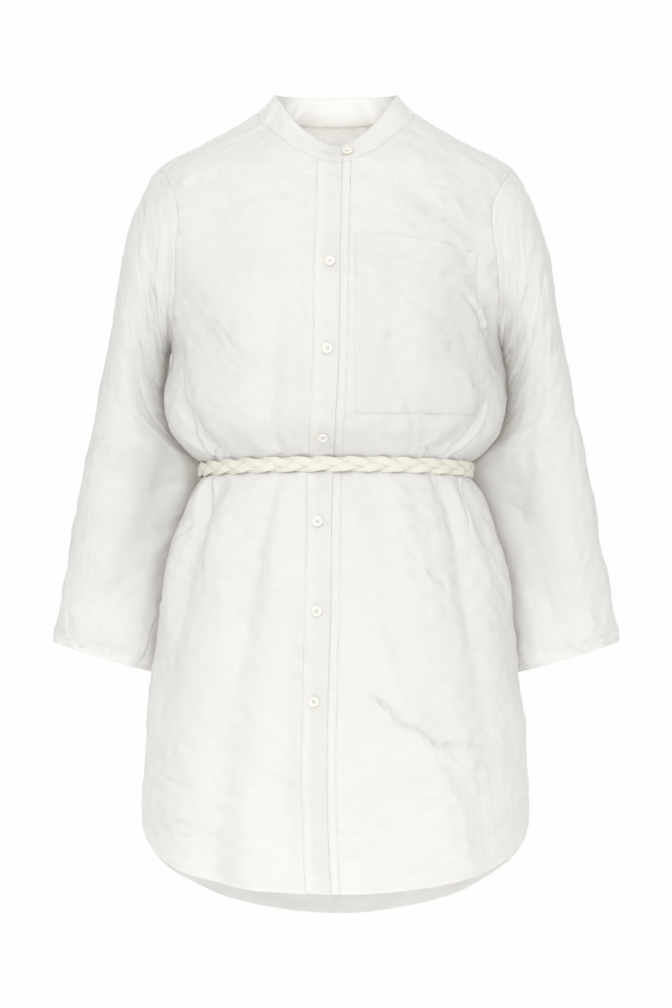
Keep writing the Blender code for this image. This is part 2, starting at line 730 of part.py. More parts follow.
def over_bands(point):
    """How far the belt stands off the waist where it crosses the over band."""
    if point.y > 0:
        return 0.0
    rise = ease((point.x - BELT_LIFT_FROM_X) / BELT_LIFT_RUN)
    fall = ease((point.x - BELT_LIFT_TO_X) / BELT_LIFT_RUN)
    return (DOUBLE_CLOTH + LAYER_GAP) * rise * (1 - fall)


def strand(name, phase):
    """One of the three strands of the plait: a tube that weaves up and down and in and out."""
    count = BRAID_PERIODS * POINTS_PER_PERIOD
    data = bpy.data.curves.new(name, "CURVE")
    data.dimensions = "3D"
    data.bevel_depth = STRAND_RADIUS
    data.bevel_resolution = 1
    data.use_fill_caps = True
    line = data.splines.new("POLY")
    line.points.add(count)
    for k, (point, outward) in enumerate(belt_path(count)):
        turn_by = 2 * math.pi * BRAID_PERIODS * k / count + phase
        out = over_bands(point) + BELT_CLEAR + STRAND_RADIUS + BRAID_HALF_DEPTH * (1 + math.sin(2 * turn_by))
        at = point + outward * out + Vector((0, 0, BRAID_HALF_HEIGHT * math.cos(turn_by)))
        line.points[k].co = (*at, 1)
    data.materials.append(material(name, CREAM, 0.8))
    blouse.objects.link(bpy.data.objects.new(name, data))


def knot():
    """Rounded lump that stands for the tied ends, at the centre back."""
    shape = bmesh.new()
    bmesh.ops.create_cube(shape, size=1)
    for vert in shape.verts:
        vert.co = Vector((vert.co.x * KNOT_SIZE[0], vert.co.y * KNOT_SIZE[1], vert.co.z * KNOT_SIZE[2]))
    mesh = bpy.data.meshes.new("belt_knot")
    shape.to_mesh(mesh)
    shape.free()
    thing = add_object("belt_knot", mesh, CREAM, 0.8)
    rounding = thing.modifiers.new("rounding", "BEVEL")
    rounding.width = KNOT_ROUNDING
    rounding.segments = 3
    at = skin(180, belt_z(180), folded=False)
    thing.location = at + Vector((0, KNOT_SIZE[1] / 2 + KNOT_CLEAR, 0))


# ---- the whole blouse -----------------------------------------------------
blouse = bpy.data.collections.new("belted_blouse")
bpy.context.scene.collection.children.link(blouse)

over_face = DOUBLE_CLOTH + LAYER_GAP
sheet("front_left", front(1), CLOTH)
sheet("front_right", front(-1), CLOTH)
sheet("back", back(), CLOTH)
sheet("yoke", yoke(), CLOTH)
sheet("sleeve_left", sleeve(1), CLOTH, tube=True)
sheet("sleeve_right", sleeve(-1), CLOTH, tube=True)
sheet("collar_band", collar(), DOUBLE_CLOTH)
sheet("placket_right", band(-BAND_WIDTH, 0, over_face), DOUBLE_CLOTH)
sheet("placket_left", band(UNDER_SHOWS - BAND_WIDTH, UNDER_SHOWS, 0), DOUBLE_CLOTH)
sheet("pocket", pocket(), CLOTH)
front_buttons()
collar_button()
for letter, third in zip("abc", range(3)):
    strand(f"belt_strand_{letter}", 2 * math.pi * third / 3)
knot()
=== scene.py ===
import math
from collections import namedtuple

import bpy
import numpy as np
from mathutils import Matrix, Vector


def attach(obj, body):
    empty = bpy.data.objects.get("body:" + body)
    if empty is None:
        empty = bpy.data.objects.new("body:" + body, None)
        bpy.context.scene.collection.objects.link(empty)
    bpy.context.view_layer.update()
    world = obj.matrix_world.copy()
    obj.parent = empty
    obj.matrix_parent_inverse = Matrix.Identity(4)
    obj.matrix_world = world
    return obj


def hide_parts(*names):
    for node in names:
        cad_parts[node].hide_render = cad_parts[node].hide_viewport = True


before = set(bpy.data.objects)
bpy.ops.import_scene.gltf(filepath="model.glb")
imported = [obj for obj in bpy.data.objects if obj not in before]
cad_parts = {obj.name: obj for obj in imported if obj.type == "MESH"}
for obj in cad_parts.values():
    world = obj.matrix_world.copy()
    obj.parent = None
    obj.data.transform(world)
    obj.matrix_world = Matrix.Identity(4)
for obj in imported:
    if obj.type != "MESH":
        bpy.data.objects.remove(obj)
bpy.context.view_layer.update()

# ---- the camera -----------------------------------------------------------
# The photograph's view: level with the middle of the blouse, straight on to its
# front, from about three metres.
CAMERA_DISTANCE = 3.2
CAMERA_Z = -0.4136
LENS_MM = 103.9

camera = bpy.data.objects.new("camera", bpy.data.cameras.new("camera"))
bpy.context.scene.collection.objects.link(camera)
bpy.context.scene.camera = camera
camera.location = (0, -CAMERA_DISTANCE, CAMERA_Z)
camera.rotation_euler = (math.radians(90), 0, 0)
camera.data.sensor_width = 36
camera.data.lens = LENS_MM

# ---- the two fronts -------------------------------------------------------
# Each front is one piece of washed linen, from the neckline and the yoke seam to
# the curved hem.  The belt gathers it, and the cloth between hangs in soft folds.
CLOTH = 0.0005            # shown thickness of the linen
DOUBLE_CLOTH = 0.0015     # the under band's and collar's, as in the solids
LAYER_GAP = 0.0003

WAIST_Z = -0.377
BELT_RISE_FRONT = 0.006
BELT_DROP_BACK = 0.003
BELT_SHIFT_REACH = 0.060
BELT_HALF = 0.008
BELT_HOLD = 0.020
PINCH_HOLD = 0.008        # the finest gathers run on almost under the belt
BELT_CALM = 0.030         # the cloth is less uneven within this of the belt

HEM_SIDE_Z = -0.757
HEM_DROP_FRONT = 0.066
HEM_DROP_BACK = 0.126
HEM_BLEND_Z = -0.520
NECK_BLEND_Z = -0.215
HEM_WIDTH = 0.0065        # narrow turned hem of the tails

ARMHOLE_Z = -0.1422
ARMHOLE_HALF = 0.0962
ARMHOLE_FRONT = 0.075
ARMHOLE_BACK = 0.066
YOKE_FRONT_STEP = 36
YOKE_BACK_STEP = 54
YOKE_NECK_ANGLE = 38.7
YOKE_BACK_NECK_ANGLE = 126.0
YOKE_DROP_BACK = 0.003

BAND_WIDTH = 0.027
UNDER_SHOWS = 0.0095
PANEL_LIFT_RUN = 0.018

ROW_GAP = 0.0022          # between the rows of a grid
STEP_GAP = 1.75           # and beside the armhole, in degrees of it


def table(columns, *rows):
    """Rows with named columns; a column marked with mm is written in millimetres."""
    names, marks = zip(*(column.partition(":")[::2] for column in columns.split()))
    kind = namedtuple("Row", names)
    return [kind(*(value / 1000 if mark else value for value, mark in zip(row, marks))) for row in rows]


# Plan sections of the body: half width, reach to the front, reach to the back.
SECTIONS = table(
    "z:mm side:mm front:mm back:mm",
    (30, 60, 16, 36), (17, 84, 30, 54), (9, 97, 43, 66), (-5, 121, 57, 73), (-24, 157, 71, 81),
    (-34, 178, 78.5, 85), (-42.6, 191, 84.5, 88), (-50, 198, 89, 91), (-80, 208, 104, 102),
    (-130, 211, 126, 116), (-180, 199, 143, 121), (-238, 181, 150, 118), (-274, 185, 150, 116),
    (-305, 187, 146, 113), (-335, 180, 137, 107), (-350, 169, 127, 101), (-361, 158, 118, 96),
    (-368, 148, 111, 92.8), (-372, 143.8, 107.6, 90.4), (-382, 143.8, 107.6, 90.4),
    (-386, 148, 111, 92.8), (-394, 154, 116, 97), (-407, 162, 122, 102), (-435, 173, 131, 110),
    (-470, 184, 138, 118), (-526, 193, 144, 127), (-600, 201, 148, 135), (-645, 206, 149, 138),
    (-700, 210, 150, 141), (-745, 212, 151, 142), (-830, 212, 152, 143), (-900, 211, 152, 143),
)

# Neckline and collar, for an angle from the centre front (0) to the centre back.
NECK = table(
    "angle seam_z:mm top_x:mm top_y:mm top_z:mm",
    (0, -49.5, 0, -66, -28.5), (4.7, -45.5, 13, -64.8, -24.5), (10.5, -37, 26.5, -61, -15.5),
    (17.2, -28, 39, -54, -5), (23.5, -18.5, 47.5, -47, 5), (38.7, -4.5, 60, -30, 23),
    (60, 9, 65.5, -14, 32), (90, 17, 67, 6, 37), (125, 14.5, 54, 43, 40), (150, 11, 33, 62, 41.5),
    (180, 9, 0, 69, 42),
)

# Front edge of the band that laps over: it drifts to the wearer's right.
EDGE = table(
    "z:mm x:mm",
    (-30, 7.2), (-145, 4.3), (-262, 2.4), (-385, -3.5), (-535, -6), (-620, -8.5), (-700, -9.4),
    (-790, -7.2), (-830, -4),
)

# Soft folds, as in the solids: a trough, or a ridge where the depth is negative.
FOLDS = table(
    "top_angle top_z:mm top_depth:mm low_angle low_z:mm low_depth:mm width",
    # above the belt, front
    (-68, -268, 2, -52, -362, 10, 6), (-80, -300, -1, -66, -362, -5, 7),
    (-20, -205, 2, -24, -362, 5, 5), (18, -185, 3, 22, -362, 3, 7), (64, -288, 2, 44, -362, 10, 6),
    (78, -300, -1, 60, -362, -5, 7), (36, -290, 0, 33, -362, 5, 5), (40, -145, 3, 76, -250, 7, 6.5),
    (22, -75, 3, 46, -130, 4, 6), (-40, -300, 0, -38, -362, 4, 5),
    # below the belt, front
    (-55, -392, 10, -62, -600, 2, 6), (-70, -392, -4, -74, -560, -1, 7),
    (-26, -392, 5, -39, -830, 8, 7), (-12, -392, 3, -17, -830, 6, 5.5), (15, -392, 4, 21, -600, 2, 5.5),
    (33, -392, 5, 32, -480, 1, 5), (10, -520, -1, 42, -800, -5, 6.5), (46, -392, 8, 52, -720, 3, 6.5),
    (62, -392, 7, 66, -470, 1, 5.5),
    # back, gathered by the belt in the same way
    (112, -250, 2, 118, -362, 8, 7), (137, -180, 2, 140, -362, 6, 7), (160, -230, 1, 163, -362, 7, 6),
    (183, -200, 2, 181, -362, 5, 6.5), (207, -170, 3, 203, -362, 6, 6.5),
    (229, -240, 1, 222, -362, 8, 7), (252, -270, 1, 246, -362, 8, 7), (115, -392, 9, 112, -640, 3, 7),
    (134, -392, 6, 130, -860, 8, 8), (156, -392, 7, 153, -700, 4, 7), (177, -392, 5, 174, -880, 7, 7.5),
    (198, -392, 6, 203, -740, 4, 7), (219, -392, 6, 227, -860, 8, 8), (243, -392, 9, 248, -620, 3, 7),
)
FOLD_END = 0.030

# Creases, finer than the folds: from one end to the other, with a depth at each,
# a sideways bend, a width and a raised lip along one side.
CREASES = table(
    "top_angle top_z:mm top_depth:mm low_angle low_z:mm low_depth:mm bend:mm width:mm lip",
    # wearer's left chest, above and beside the pocket
    (16.1, -76, 1, 26.7, -103, 3, -1, 4, 0.6), (26.7, -103, 3, 43.5, -129, 1.5, 2, 5, 0.5),
    (14.7, -95, 1, 25.6, -123, 2.4, -2, 4, 0.6), (25.6, -123, 2.4, 36, -139, 1.2, 1, 5, 0.4),
    (17.6, -59, 0.8, 17.9, -81, 1, 0, 3, 0.3), (28.9, -39, 1.2, 43.4, -49, 2.2, 2, 3.5, 0.6),
    (2.3, -102, 1.2, 8.9, -115, 0.8, 0, 3.5, 0.4), (2.3, -119, 1, 12.7, -127, 0.6, 1, 3.5, 0.3),
    (43.5, -129, -0.8, 55.9, -195, -2, 4, 9, 0), (42.8, -186, 1.5, 60.1, -227, 4.5, 1, 5, 0.5),
    (60.1, -227, 4, 76.3, -259, 2, 2, 6, 0.3), (33.1, -171, 0.8, 46.1, -172, 1, 1, 3.5, 0.3),
    (15, -180, 0.7, 22.2, -182, 0.7, 0, 3, 0.4), (12.3, -147, 0.6, 21.4, -145, 0.8, 1, 4, 0.3),
    (30.1, -58, 0.8, 42.3, -76, 1.2, 2, 5, 0.3),
    # wearer's right chest
    (-24.4, -110, 0.8, -15.7, -116, 1.2, 1, 5, 0.3), (-14, -96, 0.9, -7, -94, 0.8, 0, 3.5, 0.5),
    (-43.5, -127, 0.5, -28.3, -148, 1.2, 3, 4, 0.4), (-24, -168, 0.5, -17.4, -176, 1, 1, 3.5, 0.4),
    (-46.7, -179, 1, -31.6, -183, 0.6, 0, 3, 0.4), (-16.1, -184, 0.6, -10.6, -213, 0.9, 2, 4, 0.3),
    (-20.8, -145, 0.6, -14.4, -146, 0.8, 1, 3.5, 0.4), (-54.6, -110, 1, -48.3, -96, 0.6, 0, 3.5, 0.4),
    (-53.4, -121, 1, -45.2, -114, 0.5, 0, 3, 0.4), (-47.5, -67, 0.8, -34.8, -62, 0.6, 1, 4, 0.3),
    (-35.7, -43, 0.7, -26.3, -35, 0.8, 1, 4, 0.3), (-5.5, -135, 0.6, 1.7, -129, 0.8, 0, 2.5, 0.4),
    # gathers that run down to the belt
    (-65.8, -270, 2, -58.9, -315, 4, -2, 6, 0.4), (-58.9, -315, 4, -61.9, -366, 5, -3, 6, 0.5),
    (-54.7, -353, 2, -62.6, -369, 4, 0, 2.5, 0.6), (-44.2, -345, 1, -57.3, -369, 2.5, 0, 3, 0.4),
    (-20.7, -236, 1, -22.9, -365, 2.5, 1, 6, 0.2), (18.8, -231, 1.5, 18.8, -283, 1, 0, 6, 0.2),
    (19.8, -287, 0.8, 31.4, -361, 2, 2, 5, 0.2), (60.2, -303, 3, 50.4, -358, 5, 2, 6, 0.5),
    (36.7, -350, 1.5, 42, -370, 4, 0, 2.5, 0.6), (51.9, -356, 2, 59.8, -369, 3, 0, 2.5, 0.4),
    (24.9, -315, 0.8, 37.2, -321, 1, 1, 3, 0.6), (48.9, -292, 1, 62.7, -278, 1.2, 0, 4, 0.4),
    # gathers that run down from the belt
    (-63.7, -382, 4.5, -56.2, -422, 2.5, 1, 4, 0.6), (-56.2, -422, 2.5, -48.5, -521, 0.8, 1, 6, 0.2),
    (-68.3, -382, -3, -60.5, -458, -1.5, 1, 6, 0), (-24.6, -379, 2, -27.3, -498, 1.5, 2, 7, 0.2),
    (-27.3, -498, 1.2, -32.7, -621, 1.2, 1, 9, 0.1), (-11.8, -397, 0.6, -10.2, -473, 0.8, 0, 4, 0.2),
    (43, -379, 4, 44.6, -401, 1, -1, 3, 0.6), (62.9, -381, 4.5, 55.6, -439, 2, -1, 3.5, 0.6),
    (48, -409, 1.5, 46.7, -552, 1, -2, 7, 0.2), (18.9, -399, 0.8, 29.3, -491, 1.2, -2, 6, 0.2),
    # skirt, wearer's left: the long curved crease and the ridge that crosses it
    (10.1, -616, 2, 18.4, -646, 2, 3, 2.8, 0.9), (18.1, -645, 2, 29.8, -669, 1.8, 3, 2.8, 0.9),
    (29.5, -668, 1.8, 57.4, -682, 0.6, 3, 3.2, 0.7), (14.9, -557, -0.8, 20.2, -627, -1.2, 0, 5, 0),
    (20.2, -627, -1.4, 27.8, -673, -1.2, 0, 4, 0), (27.8, -673, -1.2, 38.4, -734, -0.9, 0, 4, 0),
    (38.4, -734, -0.9, 40.9, -787, -0.5, 0, 4, 0), (2.4, -600, 0.8, 9, -605, 0.6, 0, 2.8, 0.5),
    (6.6, -520, 0.6, 13.2, -531, 0.8, 0, 3, 0.4), (11.4, -751, 0.6, 16.4, -752, 0.6, 0, 2.2, 0.6),
    (46, -702, 0.7, 49.3, -782, 0.9, 1, 3, 0.4), (51.8, -689, 0.7, 55.3, -771, 0.9, -1, 3, 0.4),
    (59.2, -699, 0.7, 61.2, -755, 0.9, 1, 3, 0.4),
    # skirt, wearer's right
    (-60.2, -708, 1, -47.1, -714, 1.2, 0, 2.6, 0.8), (-47.5, -714, 1, -40.5, -713, 0.5, 0, 2.6, 0.6),
    (-55.9, -754, 0.7, -47.1, -754, 0.6, 0, 2.6, 0.5),
    (-53.7, -771, 0.6, -41.3, -764, 0.7, 1, 2.6, 0.5),
    # back, above the belt
    (100, -215, 3, 122, -262, 0.8, 3, 5, 0.5), (98, -262, 2, 116, -300, 0.6, 2, 4.5, 0.4),
    (262, -205, 2.8, 241, -256, 0.8, -3, 5, 0.5), (260, -250, 1.8, 247, -292, 0.6, -2, 4.5, 0.4),
    (128, -118, 0.6, 152, -131, 1.2, 2, 4.5, 0.4), (160, -150, 0.9, 190, -146, 0.6, 3, 5, 0.3),
    (205, -112, 1, 231, -128, 0.7, -3, 4.5, 0.5), (142, -205, 0.7, 171, -228, 1.1, 4, 5, 0.3),
    (188, -214, 1, 222, -196, 0.6, 3, 4.5, 0.4), (109, -318, 1.5, 107, -369, 4, 0, 3.5, 0.4),
    (126, -332, 1.2, 129, -369, 3.8, 0, 3, 0.5), (147, -300, 1, 149, -369, 3.4, 1, 4, 0.3),
    (171, -322, 1, 170, -369, 3.6, 0, 3, 0.5), (192, -290, 0.8, 190, -369, 3.4, -1, 4, 0.3),
    (214, -330, 1.2, 212, -369, 4, 0, 3, 0.5), (234, -310, 1, 236, -369, 3.6, 1, 3.5, 0.4),
    (256, -334, 1.4, 254, -369, 4, 0, 3.5, 0.4),
    # back, below the belt
    (104, -384, 4.2, 108, -440, 1.4, 0, 3.5, 0.5), (124, -384, 3.6, 123, -468, 1, 1, 4, 0.4),
    (145, -384, 3.8, 143, -432, 1.2, 0, 3, 0.5), (167, -384, 3, 165, -486, 1, 1, 4.5, 0.3),
    (188, -384, 3.6, 189, -438, 1.2, 0, 3, 0.5), (209, -384, 3.4, 212, -476, 1, -1, 4, 0.4),
    (231, -384, 3.8, 233, -444, 1.4, 0, 3.5, 0.5), (255, -384, 4.2, 252, -452, 1.4, 0, 3.5, 0.5),
    (133, -640, 1.2, 158, -671, 1, 4, 3.2, 0.7), (158, -671, 1, 176, -668, 0.5, 1, 3.2, 0.5),
    (196, -706, 0.9, 228, -686, 1.2, 5, 3.4, 0.6), (116, -722, 1, 131, -730, 0.8, 0, 2.8, 0.6),
    (206, -590, 0.7, 223, -601, 0.9, 2, 3.2, 0.4), (150, -552, 0.8, 169, -547, 0.6, 2, 3.2, 0.4),
    (238, -760, 0.8, 251, -752, 1, 0, 2.8, 0.5), (163, -790, 0.9, 190, -798, 0.7, 3, 3.4, 0.5),
)
CREASE_END = 0.008        # a crease fades in and out within this of its ends
CREASE_SHARP = 0.3        # a crease with at least this lip is a sharp one
CREASE_EDGE = 1.1         # 2 is a soft dent, 1 a sharp kink
CREASE_SLIM = 0.62
CREASE_DEPTH = 1.25
GIRTH_RADIUS = 0.17       # turns an angle round the body into metres of cloth

# Fine unevenness of washed linen: seeded waves of several lengths.
WAVE_SEED = 11
WAVES = table(
    "count shortest:mm longest:mm height:mm",
    (26, 16, 45, 0.11), (14, 60, 150, 0.45),
)

SEAM_DIP = 0.00025        # the cloth rolls in at a seam
SEAM_FLAT = 0.00008       # and less where it is pressed flat
SEAM_ROLL = 0.0015
PUCKER_HEIGHT = 0.00035
PUCKER_REACH = 0.007
PUCKER_LENGTHS = (0.008, 0.017)

STITCH_LENGTH = 0.0023
STITCH_GAP = 0.0007
STITCH_RADIUS = 0.00022
STITCH_SIDES = np.array((
    (0, 2, 3), (0, 3, 4), (0, 4, 5), (0, 5, 2), (1, 3, 2), (1, 4, 3), (1, 5, 4), (1, 2, 5),
))
SEAM_INSET = 0.0018       # from an edge to the line of stitches beside it

LINEN_SINGLE = (0.900, 0.898, 0.890)
LINEN_DOUBLE = (0.922, 0.919, 0.904)
LINEN_THROUGH = (0.920, 0.905, 0.872)     # what daylight through the cloth looks like
LINEN_SHEER = 0.42        # share of the light that passes through
CRUMPLE = 0.0036          # depth of the washed-in crumple
THREAD = (0.86, 0.85, 0.82)


def through(rows, key, value, x):
    """Smooth curve through the column `value` of a table, over its column `key`."""
    rows = sorted(rows, key=lambda row: getattr(row, key))
    xs = np.array([getattr(row, key) for row in rows], float)
    ys = np.array([getattr(row, value) for row in rows], float)
    low = np.maximum(np.arange(len(xs)) - 1, 0)
    high = np.minimum(np.arange(len(xs)) + 1, len(xs) - 1)
    slope = (ys[high] - ys[low]) / (xs[high] - xs[low])
    x = np.clip(x, xs[0], xs[-1])
    k = np.clip(np.searchsorted(xs, x, side="right") - 1, 0, len(xs) - 2)
    span = xs[k + 1] - xs[k]
    t = (x - xs[k]) / span
    start = ys[k] * (2 * t ** 3 - 3 * t ** 2 + 1) + slope[k] * span * (t ** 3 - 2 * t ** 2 + t)
    return start + ys[k + 1] * (3 * t ** 2 - 2 * t ** 3) + slope[k + 1] * span * (t ** 3 - t ** 2)


def blend(a, b, t):
    return a + (b - a) * t


def ease(t):
    """0 below 0, 1 above 1, smooth between."""
    t = np.clip(t, 0.0, 1.0)
    return t * t * (3 - 2 * t)


def turn(angle):
    """The same direction, between -180 and 180 degrees."""
    return (angle + 180) % 360 - 180


def unit(vectors):
    return vectors / np.maximum(np.linalg.norm(vectors, axis=-1, keepdims=True), 1e-12)


def girth(angle):
    """Metres of cloth round the body, for degrees."""
    return np.radians(angle) * GIRTH_RADIUS


def belt_z(angle):
    c = np.cos(np.radians(angle))
    return WAIST_Z + np.where(c > 0, BELT_RISE_FRONT, BELT_DROP_BACK) * c


def belt_shift(angle, z):
    """How far the waist moves with the belt, near it."""
    return (belt_z(angle) - WAIST_Z) * np.exp(-((z - WAIST_Z) / BELT_SHIFT_REACH) ** 2)


def soft_fold(row, off, s, run):
    """Depth of a soft fold `off` beside its line and a share `s` down its length `run`."""
    past = np.maximum(np.maximum(-s, s - 1), 0.0) * run
    depth = blend(row.top_depth, row.low_depth, np.clip(s, 0.0, 1.0))
    return depth * np.exp(-off * off) * (1 - ease(past))


def fold_depth(angle, z):
    total = np.zeros(np.broadcast(angle, z).shape)
    for row in FOLDS:
        run = row.top_z - row.low_z
        s = (row.top_z - z) / run
        line = blend(row.top_angle, row.low_angle, np.clip(s, 0.0, 1.0))
        total += soft_fold(row, turn(angle - line) / row.width, s, run / FOLD_END)
    return total * ease((np.abs(z - belt_z(angle)) - BELT_HALF) / BELT_HOLD)


def crease(across, up, row, start, end):
    """Depth of one crease at points of the flat cloth, in metres."""
    run = np.array(end) - np.array(start)
    length = math.hypot(*run)
    ux, uz = run / length
    s = ((across - start[0]) * ux + (up - start[1]) * uz) / length
    along = np.clip(s, 0.0, 1.0)
    off = (across - start[0]) * -uz + (up - start[1]) * ux
    slim, edge = (CREASE_SLIM, CREASE_EDGE) if row.lip >= CREASE_SHARP else (1.0, 2.0)
    off = (off - row.bend * 4 * along * (1 - along)) / (row.width * slim)
    past = np.maximum(-s, s - 1) * length
    lip = row.lip * np.exp(-((off - 1.7) / 1.1) ** 2)
    depth = blend(row.top_depth, row.low_depth, along) * (CREASE_DEPTH if edge < 2 else 1.0)
    fade = 1 - ease((past + CREASE_END) / (2 * CREASE_END))
    return depth * (np.exp(-np.abs(off) ** edge) - lip) * fade


def crease_depth(angle, z):
    total = np.zeros(np.broadcast(angle, z).shape)
    for row in CREASES:
        across, end = girth(turn(angle - row.top_angle)), girth(row.low_angle - row.top_angle)
        total += crease(across, z, row, (0.0, row.top_z), (end, row.low_z))
    return total * ease((np.abs(z - belt_z(angle)) - BELT_HALF * 0.5) / PINCH_HOLD)


def waves(across, up, seed=WAVE_SEED):
    """Seeded soft unevenness of the flat cloth, in metres."""
    rng = np.random.default_rng(seed)
    total = np.zeros(np.broadcast(across, up).shape)
    for row in WAVES:
        for _ in range(row.count):
            heading, phase = rng.uniform(0, 2 * math.pi, 2)
            pitch = 2 * math.pi / rng.uniform(row.shortest, row.longest)
            flat = across * math.cos(heading) + up * math.sin(heading)
            total += row.height * np.sin(pitch * flat + phase)
    return total


def reach(level):
    """Half width of the body and its reach to the front and the back."""
    return [through(SECTIONS, "z", column, level) for column in ("side", "front", "back")]


def skin(angle, z):
    """Points of the blouse's outer face, round the body (degrees) and at a height."""
    angle, z = np.broadcast_arrays(np.asarray(angle, float), np.asarray(z, float))
    side, front_reach, back_reach = reach(z - belt_shift(angle, z))
    sin, cos = np.sin(np.radians(angle)), np.cos(np.radians(angle))
    depth = np.where(cos > 0, front_reach, back_reach)
    outward = unit(np.stack([sin / side, -cos / depth, np.zeros_like(z)], -1))
    near_belt = ease(np.abs(z - belt_z(angle)) / BELT_CALM)
    dent = fold_depth(angle, z) + crease_depth(angle, z) - waves(girth(turn(angle)), z) * near_belt
    return np.stack([side * sin, -depth * cos, z], -1) - outward * dent[..., None]


def cloth(angle, z, lift=0.0):
    """Points that stand off the skin by `lift`, along its normal."""
    around = skin(angle + 0.5, z) - skin(angle - 0.5, z)
    up = skin(angle, z + 0.0015) - skin(angle, z - 0.0015)
    normal = unit(np.cross(around, up))
    return skin(angle, z) + normal * np.broadcast_to(lift, normal.shape[:-1])[..., None]


def angle_at(x, z):
    """Angle of the point of the front that has this x."""
    return np.degrees(np.arcsin(x / through(SECTIONS, "z", "side", z)))


def hem_z(angle):
    angle = np.abs(turn(angle))
    front_hem = HEM_SIDE_Z - HEM_DROP_FRONT * (1 - (np.minimum(angle, 90) / 90) ** 2.1)
    back_hem = HEM_SIDE_Z - HEM_DROP_BACK * (1 - (np.minimum(180 - angle, 90) / 90) ** 1.9)
    return np.where(angle <= 90, front_hem, back_hem)


def neck_z(angle):
    return through(NECK, "angle", "seam_z", np.abs(turn(angle)))


def edge_x(z):
    return through(EDGE, "z", "x", z)


def armhole(step):
    """Angle and height of the armhole, for degrees from its top: front, under, back."""
    step = np.asarray(step, float)
    z = ARMHOLE_Z + ARMHOLE_HALF * np.cos(np.radians(step))
    sin = np.abs(np.sin(np.radians(step)))
    front_angle = np.degrees(np.arccos(ARMHOLE_FRONT * sin / through(SECTIONS, "z", "front", z)))
    back_angle = 180 - np.degrees(np.arccos(ARMHOLE_BACK * sin / through(SECTIONS, "z", "back", z)))
    return np.where(step % 360 <= 180, front_angle, back_angle), z


def seam_x(z, side):
    """x of the seam between a front and its button band."""
    return edge_x(z) + (UNDER_SHOWS if side > 0 else -BAND_WIDTH)


def seam_top_angle(side):
    angle = 0.0
    for _ in range(6):
        z = neck_z(angle)
        angle = float(angle_at(seam_x(z, side), z))
    return angle


def lift_of(x, z):
    """How far the right front rises from the skin towards the band that laps over."""
    near = (x - (seam_x(z, -1) - PANEL_LIFT_RUN)) / PANEL_LIFT_RUN
    return (DOUBLE_CLOTH + LAYER_GAP) * ease(near)


def shares(count, edge=0.0012, width=0.3):
    """Even shares from 0 to 1, with closer ones at both ends for the seams."""
    close = np.array([0, 1, 2.2, 3.8]) * edge / width
    return np.concatenate([close, np.linspace(close[-1], 1 - close[-1], count + 2)[1:-1], 1 - close[::-1]])


def row_levels(top_step):
    """Heights of the rows up the side, closer at the hem, then even steps of the armhole."""
    hem = HEM_SIDE_Z + np.array([0, 0.0012, 0.0026, 0.0042, 0.0054, 0.0062, 0.0070, 0.0080, 0.0096])
    side = np.arange(HEM_SIDE_Z + 0.0118, ARMHOLE_Z - ARMHOLE_HALF - 0.001, ROW_GAP)
    steps = 180 - (180 - top_step) * shares(int((180 - top_step) / STEP_GAP), 0.0012, 0.25)
    return np.concatenate([hem, side, armhole(steps)[1]])


def side_of(level, back=False):
    """Angle of the outer edge of a front or of the back at a row's height."""
    step = np.degrees(np.arccos(np.clip((level - ARMHOLE_Z) / ARMHOLE_HALF, -1, 1)))
    at = armhole(360 - step if back else step)[0]
    return np.where(level <= ARMHOLE_Z - ARMHOLE_HALF, 90.0, at)


def row_z(level, bottom, top, top_level):
    """Height in a row at `level`, in a column between `bottom` and `top`."""
    low = 1 - ease((level - HEM_SIDE_Z) / (HEM_BLEND_Z - HEM_SIDE_Z))
    high = ease((level - NECK_BLEND_Z) / (top_level - NECK_BLEND_Z))
    return level + (bottom - HEM_SIDE_Z) * low + (top - top_level) * high


def normals_of(grid):
    return unit(np.cross(np.gradient(grid, axis=1), np.gradient(grid, axis=0)))


def inward(grid, edge):
    """Distance of each point from one edge of its grid, along the cloth."""
    axis, flip = {"left": (1, False), "right": (1, True), "low": (0, False), "top": (0, True)}[edge]
    grid = np.flip(grid, axis) if flip else grid
    steps = np.linalg.norm(np.diff(grid, axis=axis), axis=-1)
    start = np.zeros_like(np.take(steps, [0], axis))
    gone = np.concatenate([start, np.cumsum(steps, axis)], axis)
    return np.flip(gone, axis) if flip else gone


def pucker(points):
    """Small waves that sewing draws into the cloth, the same for both sides of a seam."""
    rng = np.random.default_rng(WAVE_SEED)
    total = 0.0
    for _ in range(5):
        heading = unit(rng.normal(size=3))
        wave = points @ heading * 2 * math.pi / rng.uniform(*PUCKER_LENGTHS)
        total = total + np.sin(wave + rng.uniform(0, 6))
    return total * PUCKER_HEIGHT / 2


def sewn(grid, seams, facing=None, dip=SEAM_DIP):
    """The grid with its seam edges rolled in and puckered, against its own normals or `facing`."""
    normal = normals_of(grid)
    facing = normal if facing is None else facing
    for edge in seams:
        far = inward(grid, edge)[..., None]
        roll = np.exp(-(far / SEAM_ROLL) ** 2)
        grid = grid - facing * dip * roll
        grid = grid + normal * pucker(grid)[..., None] * np.exp(-far / PUCKER_REACH) * (1 - roll)
    return grid


def near_edges(grid, widths):
    """How thick the cloth looks where it is turned or felled: a width and an amount for each edge."""
    mask = np.zeros(grid.shape[:-1])
    for edge, (width, amount) in widths.items():
        mask = np.maximum(mask, amount * (1 - ease((inward(grid, edge) - width) / 0.0008)))
    return mask


